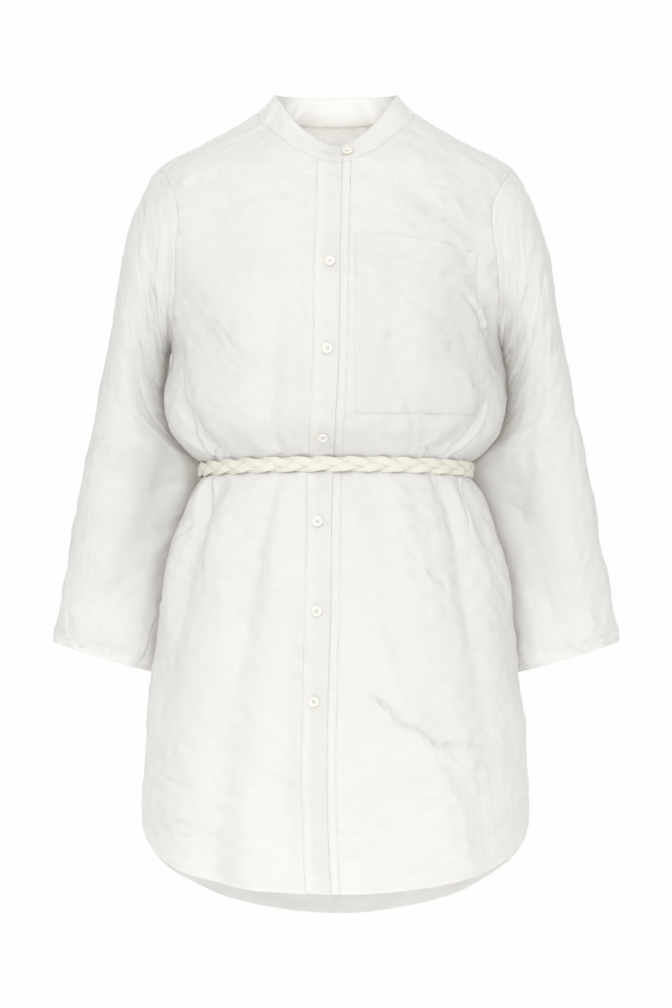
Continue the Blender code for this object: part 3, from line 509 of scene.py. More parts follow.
def add_mesh(name, points, faces, place=None):
    """A smooth piece; `place` is where its points lie on the flat cloth."""
    mesh = bpy.data.meshes.new(name)
    mesh.from_pydata(points.reshape(-1, 3).tolist(), [], faces)
    if place is not None:
        spots = mesh.attributes.new("place", "FLOAT_VECTOR", "POINT")
        spots.data.foreach_set("vector", place.reshape(-1).astype(np.float32))
    mesh.shade_smooth()
    thing = bpy.data.objects.new(name, mesh)
    bpy.context.scene.collection.objects.link(thing)
    return thing


def grid_faces(rows, columns, closed=False):
    """Squares between the points of a grid; `closed` joins its last column to the first."""
    spans = columns if closed else columns - 1
    row, column = np.meshgrid(np.arange(rows - 1), np.arange(spans), indexing="ij")
    here, there = row * columns + column, row * columns + (column + 1) % columns
    return np.stack([here, there, there + columns, here + columns], -1).reshape(-1, 4).tolist()


def dressed(thing, finish, node=None):
    """The piece takes its finish, rides on the blouse and may stand for a solid."""
    thing.data.materials.append(finish)
    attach(thing, "root")
    if node:
        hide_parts(node)


def cloth_piece(name, grid, across, up, layers, wall=CLOTH, tube=False):
    """A thin piece of linen through a grid of points, with its flat place and its layers."""
    if tube:
        grid, across, up, layers = grid[:, :-1], across[:, :-1], up[:, :-1], layers[:, :-1]
    place = np.stack(np.broadcast_arrays(across, up, layers), -1)
    thing = add_mesh(f"{name}_cloth", grid, grid_faces(*grid.shape[:2], closed=tube), place)
    shell = thing.modifiers.new("thickness", "SOLIDIFY")
    shell.thickness = wall
    shell.offset = -1
    shading = thing.modifiers.new("even shading", "WEIGHTED_NORMAL")
    shading.weight = 100
    dressed(thing, linen, name)
    return thing


def gone_along(line):
    """Distance of each point of a line from its start."""
    return np.concatenate([[0], np.cumsum(np.linalg.norm(np.diff(line, axis=0), axis=-1))])


def at_distance(at, gone, line):
    return np.stack([np.interp(at, gone, line[:, k]) for k in range(3)], -1)


def edge_run(grid, edge, inset):
    """Line that runs `inset` inside one edge of a grid, with the cloth's normals."""
    lines = grid, normals_of(grid), inward(grid, edge)
    if edge in ("low", "top"):
        lines = [part.swapaxes(0, 1) for part in lines]
    if edge in ("right", "top"):
        lines = [part[:, ::-1] for part in lines]
    points, facing, far = lines
    run = np.array([at_distance(inset, *row) for row in zip(far, points)])
    return run, unit(np.array([at_distance(inset, *row) for row in zip(far, facing)]))


def stitches(name, runs):
    """Small raised stitches along some lines, as one mesh."""
    points, faces, first = [], [], 0
    for line, facing in runs:
        gone = gone_along(line)
        count = int(gone[-1] / (STITCH_LENGTH + STITCH_GAP))
        middles = (np.arange(count) + 0.5) * (STITCH_LENGTH + STITCH_GAP)
        at = at_distance(middles, gone, line)
        before, after = [at_distance(middles + end * STITCH_LENGTH / 2, gone, line) for end in (-1, 1)]
        out = unit(at_distance(middles, gone, facing))
        side = unit(np.cross(after - before, out)) * STITCH_RADIUS
        out = out * STITCH_RADIUS
        points.append(np.stack([before, after, at + side, at + out * 1.6, at - side, at - out * 0.5], 1))
        start = first + np.arange(count)[:, None, None] * 6
        faces.append((start + STITCH_SIDES).reshape(-1, 3))
        first += 6 * count
    thing = add_mesh(f"stitches_{name}", np.concatenate(points), np.concatenate(faces).tolist())
    dressed(thing, thread)


class Shade:
    """One socket of a material; sums, products and powers of shades add Math nodes."""

    def __init__(self, tree, socket=None):
        self.tree = tree
        self.socket = socket

    def node(self, kind, settings=None, values=None, output=0):
        """Adds a node: its settings first, then its sockets, from numbers, colours or shades."""
        made = self.tree.nodes.new(kind)
        for key, setting in (settings or {}).items():
            setattr(made, key, setting)
        for key, value in (values or {}).items():
            if isinstance(value, Shade):
                self.tree.links.new(value.socket, made.inputs[key])
            else:
                made.inputs[key].default_value = value
        return Shade(self.tree, made.outputs[output])

    def math(self, operation, first, second=0.0):
        return self.node("ShaderNodeMath", {"operation": operation}, {0: first, 1: second})

    def __add__(self, other):
        return self.math("ADD", self, other)

    def __sub__(self, other):
        return self.math("SUBTRACT", self, other)

    def __rsub__(self, other):
        return self.math("SUBTRACT", other, self)

    def __mul__(self, other):
        return self.math("MULTIPLY", self, other)

    def __pow__(self, other):
        return self.math("POWER", self, other)

    __radd__ = __add__
    __rmul__ = __mul__

    def mix(self, low, high):
        """A colour between two others, by this shade."""
        return self.node("ShaderNodeMix", {"data_type": "RGBA"}, {0: self, 6: low, 7: high}, output=2)


def new_material(name, roughness, sheen=0.0):
    made = bpy.data.materials.new(name)
    made.use_nodes = True
    surface = made.node_tree.nodes["Principled BSDF"]
    surface.inputs["Roughness"].default_value = roughness
    surface.inputs["Specular IOR Level"].default_value = 0.25
    surface.inputs["Sheen Weight"].default_value = sheen
    surface.inputs["Sheen Roughness"].default_value = 0.5
    return made, surface, Shade(made.node_tree)


FLAT_NOISE = {"noise_dimensions": "2D"}
RIDGED_NOISE = {"noise_dimensions": "2D", "noise_type": "RIDGED_MULTIFRACTAL", "normalize": True}


def linen_finish():
    """Plain weave with thicker threads here and there, and the fine crumple of washed linen."""
    made, surface, shade = new_material("linen", 0.85, sheen=0.08)
    place = shade.node("ShaderNodeAttribute", {"attribute_name": "place"}, output="Vector")
    split = place.node("ShaderNodeSeparateXYZ", values={0: place})
    layers = Shade(made.node_tree, split.socket.node.outputs["Z"])
    flat = place.node("ShaderNodeVectorMath", {"operation": "MULTIPLY"}, {0: place, 1: (1, 1, 0)})

    def noise(spot, scale, detail):
        values = {"Vector": spot, "Scale": scale, "Detail": detail}
        return spot.node("ShaderNodeTexNoise", FLAT_NOISE, values)

    def threads(across, up, detail):
        times = {0: flat, 1: (across, up, 1)}
        return noise(flat.node("ShaderNodeVectorMath", {"operation": "MULTIPLY"}, times), 1.0, detail)

    warp = threads(560, 26, 3.0)
    weft = threads(24, 520, 2.0)
    cloudy = threads(14, 9, 2.0)
    crumpled = flat.node(
        "ShaderNodeTexNoise", RIDGED_NOISE,
        {"Vector": flat, "Scale": 36.0, "Detail": 3.0, "Roughness": 0.5, "Distortion": 0.3},
    )

    def strokes(heading, seed):
        """Long thin dents that run one way, only in some patches of the cloth."""
        cos, sin = math.cos(math.radians(heading)), math.sin(math.radians(heading))
        dot = {"operation": "DOT_PRODUCT"}
        along, beside = [
            flat.node("ShaderNodeVectorMath", dot, {0: flat, 1: axis}, output="Value")
            for axis in ((cos, sin, 0), (-sin, cos, 0))
        ]
        across = (beside + noise(flat, 16.0, 1.0) * 0.03) * 62.0
        spot = along.node("ShaderNodeCombineXYZ", None, {0: along * 13.0 + seed, 1: across})
        fine = spot.node(
            "ShaderNodeTexNoise", RIDGED_NOISE,
            {"Vector": spot, "Scale": 1.0, "Detail": 2.0, "Roughness": 0.5},
        )
        moved = flat.node("ShaderNodeVectorMath", {"operation": "ADD"}, {0: flat, 1: (seed, 0, 0)})
        inside = flat.math("MAXIMUM", (noise(moved, 13.0, 1.0) - 0.46) * 6.0, 0.0)
        return fine * flat.math("MINIMUM", inside, 1.0)

    tone = 0.967 + 0.045 * warp + 0.021 * weft + 0.014 * (cloudy - 0.5)
    colour = layers.mix((*LINEN_SINGLE, 1), (*LINEN_DOUBLE, 1))
    tint = colour.node("ShaderNodeVectorMath", {"operation": "SCALE"}, {0: colour, "Scale": tone})
    patches = threads(7, 6, 1.0) ** 2
    height = crumpled * patches * 1.7 + (strokes(-38, 3.1) + strokes(12, 7.7)) * 0.55
    folds = crumpled.node("ShaderNodeBump", None, {"Strength": 0.8, "Distance": CRUMPLE, "Height": height})
    weave = folds.node(
        "ShaderNodeBump", None,
        {"Strength": 0.5, "Distance": 0.00025, "Height": warp + weft, "Normal": folds},
    )
    made.node_tree.links.new(tint.socket, surface.inputs["Base Color"])
    made.node_tree.links.new(weave.socket, surface.inputs["Normal"])
    through_light = weave.node(
        "ShaderNodeBsdfTranslucent", None, {"Color": (*LINEN_THROUGH, 1), "Normal": weave},
    )
    solid = Shade(made.node_tree, surface.outputs["BSDF"])
    both = solid.node("ShaderNodeMixShader", None, {0: LINEN_SHEER, 1: solid, 2: through_light})
    made.node_tree.links.new(both.socket, made.node_tree.nodes["Material Output"].inputs["Surface"])
    return made


linen = linen_finish()
thread, thread_surface, _ = new_material("thread", 0.6)
thread_surface.inputs["Base Color"].default_value = (*THREAD, 1)


FRONT_LEVELS = row_levels(YOKE_FRONT_STEP)[:, None]
FRONT_CORNER = [float(value) for value in armhole(YOKE_FRONT_STEP)]


def band_z(level, angle):
    return row_z(level, hem_z(angle), neck_z(angle), FRONT_LEVELS[-1, 0]) + belt_shift(angle, level)


def front(side):
    """Angles, heights and points of a front: side is 1 for the wearer's left, -1 for the right."""
    top_angle = abs(seam_top_angle(side))
    corner = (YOKE_NECK_ANGLE - top_angle) / (FRONT_CORNER[0] - top_angle)
    across = shares(112)[None, :]
    seam_z = band_z(FRONT_LEVELS, top_angle)
    inner = side * angle_at(seam_x(seam_z, side), seam_z)
    outer = side_of(FRONT_LEVELS)
    near = neck_z(blend(top_angle, YOKE_NECK_ANGLE, across / corner))
    along = (across - corner) / (1 - corner)
    far = blend(neck_z(YOKE_NECK_ANGLE), FRONT_CORNER[1], along)
    top = np.where(across <= corner, near, far)
    z = row_z(FRONT_LEVELS, hem_z(90 * across), top, FRONT_LEVELS[-1, 0])
    z = z + belt_shift(90 * across, FRONT_LEVELS)
    angle = side * blend(inner, outer, across)
    if side < 0:
        angle, z = angle[:, ::-1], z[:, ::-1]
    lift = lift_of(skin(angle, z)[..., 0], z) if side < 0 else 0.0
    return angle, z, cloth(angle, z, lift)


for side, name in ((1, "front_left"), (-1, "front_right")):
    angle, z, grid = front(side)
    band_edge, outer_edge = ("left", "right") if side > 0 else ("right", "left")
    grid = sewn(sewn(grid, [outer_edge, "top"]), [band_edge], dip=SEAM_FLAT)
    felled = near_edges(grid, {"low": (HEM_WIDTH, 0.4), outer_edge: (0.006, 0.25), "top": (0.003, 0.2)})
    thing = cloth_piece(name, grid, girth(angle), z, felled)
    stitches(name, [edge_run(grid, "low", HEM_WIDTH - 0.001)])

# ---- the back -------------------------------------------------------------
# One wide piece below the yoke, longer than the fronts and rounded into tails.
# The side seams are felled and sewn down with two lines of stitches.
ARMHOLE_ROWS = 72         # rows of the grid beside the armholes, which the side seams stop below
SIDE_STITCHES = (SEAM_INSET, 0.0072)
BACK_LEVELS = row_levels(YOKE_BACK_STEP)[:, None]
BACK_CORNER = [float(value) for value in armhole(360 - YOKE_BACK_STEP)]


def yoke_seam_z(angle):
    across = (angle - BACK_CORNER[0]) / (360 - 2 * BACK_CORNER[0])
    return BACK_CORNER[1] - YOKE_DROP_BACK * np.sin(math.pi * across)


def back():
    across = shares(138, width=0.55)[None, :]
    edge = side_of(BACK_LEVELS, back=True)
    top = yoke_seam_z(blend(BACK_CORNER[0], 360 - BACK_CORNER[0], across))
    z = row_z(BACK_LEVELS, hem_z(90 + 180 * across), top, BACK_LEVELS[-1, 0])
    z = z + belt_shift(90 + 180 * across, BACK_LEVELS)
    angle = blend(edge, 360 - edge, across)
    return angle, z, cloth(angle, z)


angle, z, grid = back()
grid = sewn(grid, ["left", "right", "top"])
felled = near_edges(grid, {"low": (HEM_WIDTH, 0.4), "left": (0.006, 0.25), "right": (0.006, 0.25)})
back_piece = cloth_piece("back", grid, girth(angle), z, felled)
runs = [edge_run(grid, "low", HEM_WIDTH - 0.001)]
for edge in ("left", "right"):
    runs += [edge_run(grid[:-ARMHOLE_ROWS], edge, inset) for inset in SIDE_STITCHES]
stitches("back", runs)


def yoke():
    steps = blend(YOKE_FRONT_STEP, -YOKE_BACK_STEP, shares(52, width=0.15))
    side_angle, side_z = armhole(steps % 360)
    side_neck = blend(YOKE_NECK_ANGLE, YOKE_BACK_NECK_ANGLE, shares(52, width=0.15))
    share = np.linspace(0, 1, 118)[1:-1]
    back_angle = blend(BACK_CORNER[0], 360 - BACK_CORNER[0], share)
    back_neck = blend(YOKE_BACK_NECK_ANGLE, 360 - YOKE_BACK_NECK_ANGLE, share)
    neck = np.concatenate([side_neck, back_neck, 360 - side_neck[::-1]])[None, :]
    angle = np.concatenate([side_angle, back_angle, 360 - side_angle[::-1]])[None, :]
    z = np.concatenate([side_z, yoke_seam_z(back_angle), side_z[::-1]])[None, :]
    share = 1 - shares(32, width=0.12)[:, None]
    all_angle = blend(neck, angle, share)
    all_z = blend(neck_z(neck), z, share)
    return all_angle, all_z, cloth(all_angle, all_z)


angle, z, grid = yoke()
grid = sewn(grid, ["left", "right", "low", "top"])
felled = near_edges(grid, {edge: (0.007, 0.5) for edge in ("left", "right", "low", "top")})
yoke_piece = cloth_piece("yoke", grid, girth(angle), z, felled)
stitches("yoke", [edge_run(grid, edge, 0.002) for edge in ("left", "right", "low")])

# ---- the sleeves ----------------------------------------------------------
# Wide straight sleeves, set in low off the shoulder, with one underarm seam and
# a plain cuff edge turned up once and stitched.
CUFF_HEM = 0.013

RINGS = table(
    "number outer_x:mm outer_z:mm inner_x:mm inner_z:mm middle_y:mm inner_y:mm half_depth:mm armhole",
    (0, 195, -46, 181, -238.4, -4.5, -4.5, 70.5, 1), (1, 203, -59.5, 183.5, -244, -2, 6, 74.5, 0.7),
    (2, 213, -80.5, 184.7, -252, 2, 17, 77, 0.45), (3, 222, -104, 185.9, -262, 6, 27, 77.5, 0.25),
    (4, 231, -133, 186.7, -275, 10.5, 35, 76.5, 0.1), (5, 238, -170, 186.5, -290, 15, 42, 74, 0),
    (6, 243.5, -206, 185, -307, 19.5, 49, 71, 0), (7, 249.5, -242, 179.8, -326, 23.5, 55, 67, 0),
    (8, 257.5, -283, 168.2, -348, 27, 60, 62.5, 0), (9, 266, -324, 140, -374, 29.5, 63, 58, 0),
    (10, 274.5, -364, 150, -403, 31.5, 62, 55, 0), (11, 283, -405, 163, -433, 33, 58, 53, 0),
    (12, 291, -445, 176, -468, 34, 53, 51, 0), (13, 299, -486, 184.5, -508, 34.5, 48, 49.5, 0),
    (14, 306.5, -526, 190, -552, 35, 43, 48, 0), (15, 312, -553, 194.5, -587, 35, 41, 47, 0),
    (16, 314.5, -565.5, 196.8, -601, 35, 40, 46.5, 0),
)
SLEEVE_RADIUS = 0.062     # turns an angle round the sleeve into metres
RING_GAP = 0.038          # and a ring number

SLEEVE_FOLDS = table(
    "top_angle top_ring top_depth:mm low_angle low_ring low_depth:mm width",
    (70, 3, 1, 112, 10, 5, 20), (128, 7, 3, 95, 16, 4, 20), (45, 8, 1, 40, 16, 3, 18),
    (290, 3, 1, 250, 10, 5, 20), (232, 7, 3, 268, 16, 4, 20),
)
# side: 1 on the wearer's left sleeve, -1 on the right one, 0 on both.
SLEEVE_CREASES = table(
    "side top_step top_ring top_depth:mm low_step low_ring low_depth:mm bend:mm width:mm lip",
    # wearer's right sleeve, front
    (-1, 72, 7.4, -1, 128, 9, -2.6, 2, 6, 0), (-1, 128, 9, -2.6, 150, 11, -0.8, 2, 7, 0),
    (-1, 92, 7, 1, 152, 9.2, 2.6, 2, 6, 0.3), (-1, 58, 4.6, 1.2, 82, 6, 0.8, 2, 4.5, 0.4),
    (-1, 40, 3, 1, 70, 3.6, 0.6, 1, 4.5, 0.3), (-1, 62, 12, 0.8, 72, 14.2, 1.2, 2, 4.5, 0.4),
    (-1, 44, 11.2, 1.2, 58, 13.2, 0.6, 1, 4, 0.5), (-1, 80, 14, 0.7, 100, 15.2, 1, 1, 3.5, 0.4),
    (-1, 150, 13.6, 1.6, 132, 15.6, 1, 2, 4, 0.5), (-1, 28, 6.6, 1.2, 50, 8, 0.8, 2, 5, 0.4),
    (-1, 30, 13.4, 1, 46, 15, 0.8, 0, 4, 0.4),
    # wearer's left sleeve, front
    (1, 52, 4.2, 1.6, 75, 7.4, 2.6, 2, 6.5, 0.2), (1, 75, 7.4, 2.6, 91, 10.1, 2.2, -1, 6.5, 0.2),
    (1, 91, 10.1, 2.2, 125, 11.6, 1, 1, 6, 0.2), (1, 96, 2.6, -0.8, 104, 8, -1.6, 2, 8, 0),
    (1, 104, 8, -1.6, 118, 10.4, -0.6, 1, 8, 0), (1, 70, 9.6, 1.4, 62, 10.6, 0.8, 0, 3.5, 0.5),
    (1, 44, 12.2, 0.8, 66, 12.9, 1.2, 1, 3.8, 0.5), (1, 78, 12.6, 1, 72, 14.3, 0.8, 1, 3.8, 0.4),
    (1, 40, 2.2, 1.2, 64, 2.8, 0.8, 0, 4, 0.5), (1, 58, 13.8, 0.6, 90, 15, 1, 2, 4, 0.4),
    (1, 28, 9, 1.2, 46, 11, 0.8, 2, 5, 0.4),
    # both, crooks and backs
    (0, 168, 6.2, 2.2, 122, 7.6, 1, 3, 6, 0.4), (0, 186, 7.6, 3, 226, 9.2, 1, 3, 6, 0.4),
    (0, 300, 3.4, 1.2, 262, 5, 2.2, 3, 5.5, 0.4), (0, 330, 6.4, 1, 290, 8.4, 2, 3, 5.5, 0.4),
    (0, 246, 10.2, 1.8, 284, 12.2, 0.8, 2, 5, 0.5), (0, 312, 9.8, 0.8, 296, 13.2, 1.4, 2, 6, 0.2),
    (0, 228, 13.2, 1.4, 252, 15.4, 0.8, 1, 4.5, 0.4), (0, 340, 12.4, 1, 318, 14.6, 0.8, 1, 4, 0.4),
    (0, 204, 3.4, 2.6, 236, 4.6, 1, 2, 5.5, 0.4), (0, 160, 2.6, 2.2, 128, 4, 0.8, 2, 5, 0.4),
)


def armhole_point(step, side):
    """Point of a side's armhole, as if that side were the wearer's left one."""
    angle, z = armhole(step % 360)
    point = skin(side * angle, z)
    point[..., 0] = np.abs(point[..., 0])
    return point


def sleeve_depth(step, number, side):
    total = np.zeros(np.broadcast(step, number).shape)
    for row in SLEEVE_FOLDS:
        s = (number - row.top_ring) / (row.low_ring - row.top_ring)
        line = blend(row.top_angle, row.low_angle, np.clip(s, 0.0, 1.0))
        total += soft_fold(row, turn(step - line) / row.width, s, 3)
    for row in SLEEVE_CREASES:
        if row.side in (0, side):
            across = np.radians(turn(step - row.top_step)) * SLEEVE_RADIUS
            end = math.radians(row.low_step - row.top_step) * SLEEVE_RADIUS
            ends = (0.0, row.top_ring * RING_GAP), (end, row.low_ring * RING_GAP)
            total += crease(across, number * RING_GAP, row, *ends)
    total -= waves(np.radians(step % 360) * SLEEVE_RADIUS, number * RING_GAP, WAVE_SEED + side)
    return total * ease(number / 0.8)


def ring_points(step, number):
    outer_x, outer_z, inner_x, inner_z, middle_y, inner_y, half_depth = [
        through(RINGS, "number", column, number) for column in RINGS[0]._fields[1:8]
    ]
    cos, sin = np.cos(np.radians(step)), np.sin(np.radians(step))
    x = (outer_x + inner_x) / 2 + (outer_x - inner_x) / 2 * cos
    z = (outer_z + inner_z) / 2 + (outer_z - inner_z) / 2 * cos
    return np.stack([x, middle_y - half_depth * sin - (inner_y - middle_y) * cos, z], -1)


def sleeve(side):
    """Grid of a sleeve: columns go round from the underarm seam, rows from shoulder to cuff."""
    step = np.linspace(180, 540, 145)[None, :]
    close = np.array([0, 0.03, 0.07, 0.12])
    cuff = 16 - np.array([0.60, 0.48, 0.42, 0.38, 0.34, 0.28, 0.18, 0.08, 0.0])
    number = np.concatenate([close, np.linspace(0.18, 15.30, 150), cuff])[:, None]
    own = armhole_point(step, side) - ring_points(step, np.zeros_like(step))
    point = ring_points(step, number) + own * through(RINGS, "number", "armhole", number)[..., None]
    point += unit(ring_points(step + 180, number) - point) * sleeve_depth(step, number, side)[..., None]
    angle, z = armhole(step % 360)
    facing = (cloth(side * angle, z, 1.0) - skin(side * angle, z)) * (side, 1, 1)
    return step + 0 * number, number + 0 * step, sewn(point, ["low"], facing, SEAM_DIP * 0.6)


for side, name in ((1, "sleeve_left"), (-1, "sleeve_right")):
    step, number, grid = sleeve(side)
    if side < 0:
        step, number, grid = step[:, ::-1], number[:, ::-1], grid[:, ::-1] * (-1, 1, 1)
    cuff_wave = pucker(grid * 0.7) * 1.6 * (1 - ease((inward(grid, "top") - CUFF_HEM) / 0.010))
    grid = grid + normals_of(grid) * cuff_wave[..., None]
    grid[:, -1] = grid[:, 0]
    felled = near_edges(grid, {"top": (CUFF_HEM, 1.0), "low": (0.006, 0.3), "left": (0.006, 0.3)})
    across = np.radians(step) * SLEEVE_RADIUS * 1.25
    thing = cloth_piece(name, grid, across, -number * RING_GAP + side, felled, tube=True)
    runs = [edge_run(grid, "top", CUFF_HEM - 0.0015), edge_run(grid, "low", 0.0065)]
    runs += [edge_run(grid, "left", 0.002), edge_run(grid, "left", 0.007)]
    stitches(name, runs)

# ---- the button bands -----------------------------------------------------
# Two folded strips of linen down the fronts.  The wearer's right one laps over
# the left one, which shows as a narrow strip beside it.
BAND_WALL = 0.0012


def band(left_x, right_x, out):
    across = shares(10, 0.0008, BAND_WIDTH)[None, :]
    middle_z = band_z(FRONT_LEVELS, 0.0)
    angle = angle_at(edge_x(middle_z) + blend(left_x, right_x, across), middle_z)
    z = band_z(FRONT_LEVELS, angle)
    return angle, z, cloth(angle, z, out)


for name, left_x, right_x, out in (
    ("placket_right", -BAND_WIDTH, 0.0, DOUBLE_CLOTH + LAYER_GAP),
    ("placket_left", UNDER_SHOWS - BAND_WIDTH, UNDER_SHOWS, 0.0),
):
    angle, z, grid = band(left_x, right_x, out)
    sewn_edge = "left" if name == "placket_right" else "right"
    grid = sewn(grid, [sewn_edge], dip=SEAM_FLAT)
    thing = cloth_piece(name, grid, girth(angle), z, np.ones(z.shape), wall=BAND_WALL)
    stitches(name, [edge_run(grid, edge, SEAM_INSET) for edge in ("left", "right")])

# ---- the collar -----------------------------------------------------------
# A stand of two layers with a rounded top edge.  Its right end laps over the
# left one and has an empty buttonhole, because the top button is left undone.
COLLAR_RIGHT_END_X = 0.0070
COLLAR_LEAN = 0.30        # how far up the stand still bends from the body's line
COLLAR_RADIUS = 0.075     # turns an angle round the neck into metres of cloth
COLLAR_HEIGHT = 0.033
COLLAR_WALL = 0.0013


def collar_top(angle):
    angle = turn(angle)
    size = np.abs(angle)
    top = [through(NECK, "angle", column, size) for column in ("top_x", "top_y", "top_z")]
    return np.stack([np.copysign(top[0], angle), top[1], top[2]], -1)


def collar_point(angle, share):
    """Points of the collar's outer face, a share of the way from its seam to its top."""
    lift = (DOUBLE_CLOTH + LAYER_GAP) * ease((angle + 14.0) / 9.0)
    z = neck_z(angle)
    seam = cloth(angle, z, lift)
    upward = unit(skin(angle, z) - skin(angle, z - 0.002))
    top = collar_top(angle)
    top = top + unit(top * (1, 1, 0)) * lift[..., None]
    height = np.linalg.norm(top - seam, axis=-1, keepdims=True)
    foot = seam + upward * height * COLLAR_LEAN
    s = share[..., None]
    return seam * (1 - s) ** 2 + foot * 2 * s * (1 - s) + top * s ** 2


def collar():
    left_end = float(angle_at(seam_x(neck_z(0), 1) - BAND_WIDTH, neck_z(0))) - 360
    right_end = float(angle_at(COLLAR_RIGHT_END_X, neck_z(0)))
    angle = blend(left_end, right_end, shares(250, 0.0008, 0.44))[None, :]
    share = shares(16, 0.0012, 0.033)[:, None]
    angle, share = np.broadcast_arrays(angle, share)
    return angle, share, collar_point(angle, share)


angle, share, grid = collar()
seam_z = neck_z(angle)
grid = sewn(grid, ["low"], cloth(angle, seam_z, 1.0) - skin(angle, seam_z))
across, up = np.radians(angle) * COLLAR_RADIUS, share * COLLAR_HEIGHT + 0.5
collar_piece = cloth_piece("collar_band", grid, across, up, np.ones(share.shape), wall=COLLAR_WALL)
stitches("collar", [edge_run(grid, edge, 0.0017) for edge in ("top", "low", "left", "right")])

# ---- the pocket -----------------------------------------------------------
# A large patch on the wearer's left chest, with a deep hem at the top and its
# other three sides turned under and stitched down.
POCKET_LEFT_X = 0.020
POCKET_RIGHT_X = 0.152
POCKET_BOTTOM_Z = -0.318
POCKET_HEM = 0.027
POCKET_LIFT = 0.0011
POCKET_GAPE = 0.0016      # how far its mouth stands open
POCKET_DIP = 0.0004
POCKET_WALL = 0.0006
POCKET_TOP = table(
    "x:mm z:mm",
    (20, -128.5), (50, -129.5), (78, -132.5), (116, -138.5), (152, -147),
)

across = shares(58, 0.0010, POCKET_RIGHT_X - POCKET_LEFT_X)[None, :]
x = blend(POCKET_LEFT_X, POCKET_RIGHT_X, across)
rise = shares(78, 0.0010, 0.19)[:, None]
z = blend(POCKET_BOTTOM_Z, through(POCKET_TOP, "x", "z", x), rise)
angle = angle_at(x, z)
grid = cloth(angle, z, POCKET_LIFT)
gape = POCKET_GAPE * np.sin(math.pi * across) * ease((rise - 0.82) / 0.18)
grid = grid + normals_of(grid) * gape[..., None]
grid = sewn(grid, ["left", "right", "low"], dip=POCKET_DIP)
felled = near_edges(grid, {"top": (POCKET_HEM, 1.0), "left": (0.007, 0.5), "right": (0.007, 0.5)})
pocket_piece = cloth_piece("pocket", grid, girth(angle), z + 0.3, 0.8 + 0.2 * felled, wall=POCKET_WALL)
runs = [edge_run(grid, edge, SEAM_INSET) for edge in ("left", "right", "low")]
stitches("pocket", runs + [edge_run(grid, "top", POCKET_HEM - 0.0015)])

# ---- the buttons ----------------------------------------------------------
# Six small four-hole buttons on the front band and one on the collar, of pale
# shell-like plastic.  The six are done up through worked buttonholes.
BUTTON_RADIUS = 0.00575
BUTTON_HEIGHT = 0.0024
BUTTON_HOLE = 0.00075
HOLE_OFF = 0.00145 / 1.4  # from the middle to a hole, both ways
BUTTON_PROFILE = (        # shares of the radius and the height, from the foot to the dish
    (0.80, 0), (0.93, 0.14), (1, 0.42), (0.97, 0.80), (0.88, 1), (0.76, 0.97),
    (0.66, 0.76), (0.50, 0.66), (0.20, 0.64),
)
HOLE_LENGTH = 0.0150
HOLE_WIDTH = 0.0016
HOLE_STITCHES = 26
BUTTONS = table(
    "z:mm inset:mm",
    (-159, 10.5), (-250.5, 12), (-342, 12.3), (-432.5, 14), (-527, 14.7), (-621, 14),
)
COLLAR_BUTTON = (0.0135, 0.55)
COLLAR_HOLE = (-0.0085, 0.52)

shell, shell_surface, shell_shade = new_material("button_shell", 0.4)
shell_surface.inputs["Coat Weight"].default_value = 0.1
shell_surface.inputs["Subsurface Weight"].default_value = 0.4
shell_surface.inputs["Subsurface Scale"].default_value = 0.002
shell_spot = shell_shade.node("ShaderNodeTexCoord", output="Object")
shell_cloud = shell_spot.node(
    "ShaderNodeTexNoise", None, {"Vector": shell_spot, "Scale": 260.0, "Detail": 2.0},
)
shell_colour = shell_cloud.mix((0.775, 0.76, 0.705, 1), (0.83, 0.815, 0.765, 1))
shell.node_tree.links.new(shell_colour.socket, shell_surface.inputs["Base Color"])


def facing_matrix(centre, outward, up):
    side = up.cross(outward).normalized()
    up = outward.cross(side)
    return Matrix.Translation(centre) @ Matrix((side, up, outward)).transposed().to_4x4()


def turned(name, profile, steps):
    """A piece turned round Z from a profile of (radius, height)."""
    around = np.radians(np.arange(steps) * 360 / steps)
    radius, height = np.array(profile).T[..., None]
    points = np.stack(np.broadcast_arrays(radius * np.cos(around), radius * np.sin(around), height), -1)
    last = (len(profile) - 1) * steps
    caps = [list(range(steps))[::-1], list(range(last, last + steps))]
    return add_mesh(name, points, grid_faces(len(profile), steps, closed=True) + caps)


def pierced_button():
    """A button with a raised rim, a shallow dish and four holes."""
    r, h = BUTTON_RADIUS, BUTTON_HEIGHT
    body = turned("button_body", np.array(BUTTON_PROFILE) * (r, h), 40)
    for x, y in ((1, 1), (-1, 1), (-1, -1), (1, -1)):
        drill = turned("drill", ((BUTTON_HOLE, -h), (BUTTON_HOLE, 2 * h)), 14)
        drill.location = (x * HOLE_OFF, y * HOLE_OFF, 0)
        bpy.context.view_layer.update()
        cut = body.modifiers.new("hole", "BOOLEAN")
        cut.operation = "DIFFERENCE"
        cut.object = drill
        graph = bpy.context.evaluated_depsgraph_get()
        pierced = bpy.data.meshes.new_from_object(body.evaluated_get(graph))
        body.modifiers.clear()
        body.data = pierced
        bpy.data.objects.remove(drill)
    mesh = body.data
    bpy.data.objects.remove(body)
    mesh.shade_smooth()
    mesh.set_sharp_from_angle(angle=math.radians(35))
    return mesh


def tube(points, radius, steps):
    """Points and faces of a small tube along a line, closed at its ends."""
    points = np.asarray(points, float)
    along = unit(np.gradient(points, axis=0))
    side = unit(np.cross(along, np.array([0.13, 0.21, 0.97])))
    other = np.cross(along, side)
    around = np.radians(np.arange(steps) * 360 / steps)[None, :, None]
    ring = side[:, None] * np.cos(around) + other[:, None] * np.sin(around)
    last = (len(points) - 1) * steps
    caps = [list(range(steps)), list(range(last, last + steps))[::-1]]
    faces = grid_faces(len(points), steps, closed=True) + caps
    return (points[:, None] + ring * radius).reshape(-1, 3), faces


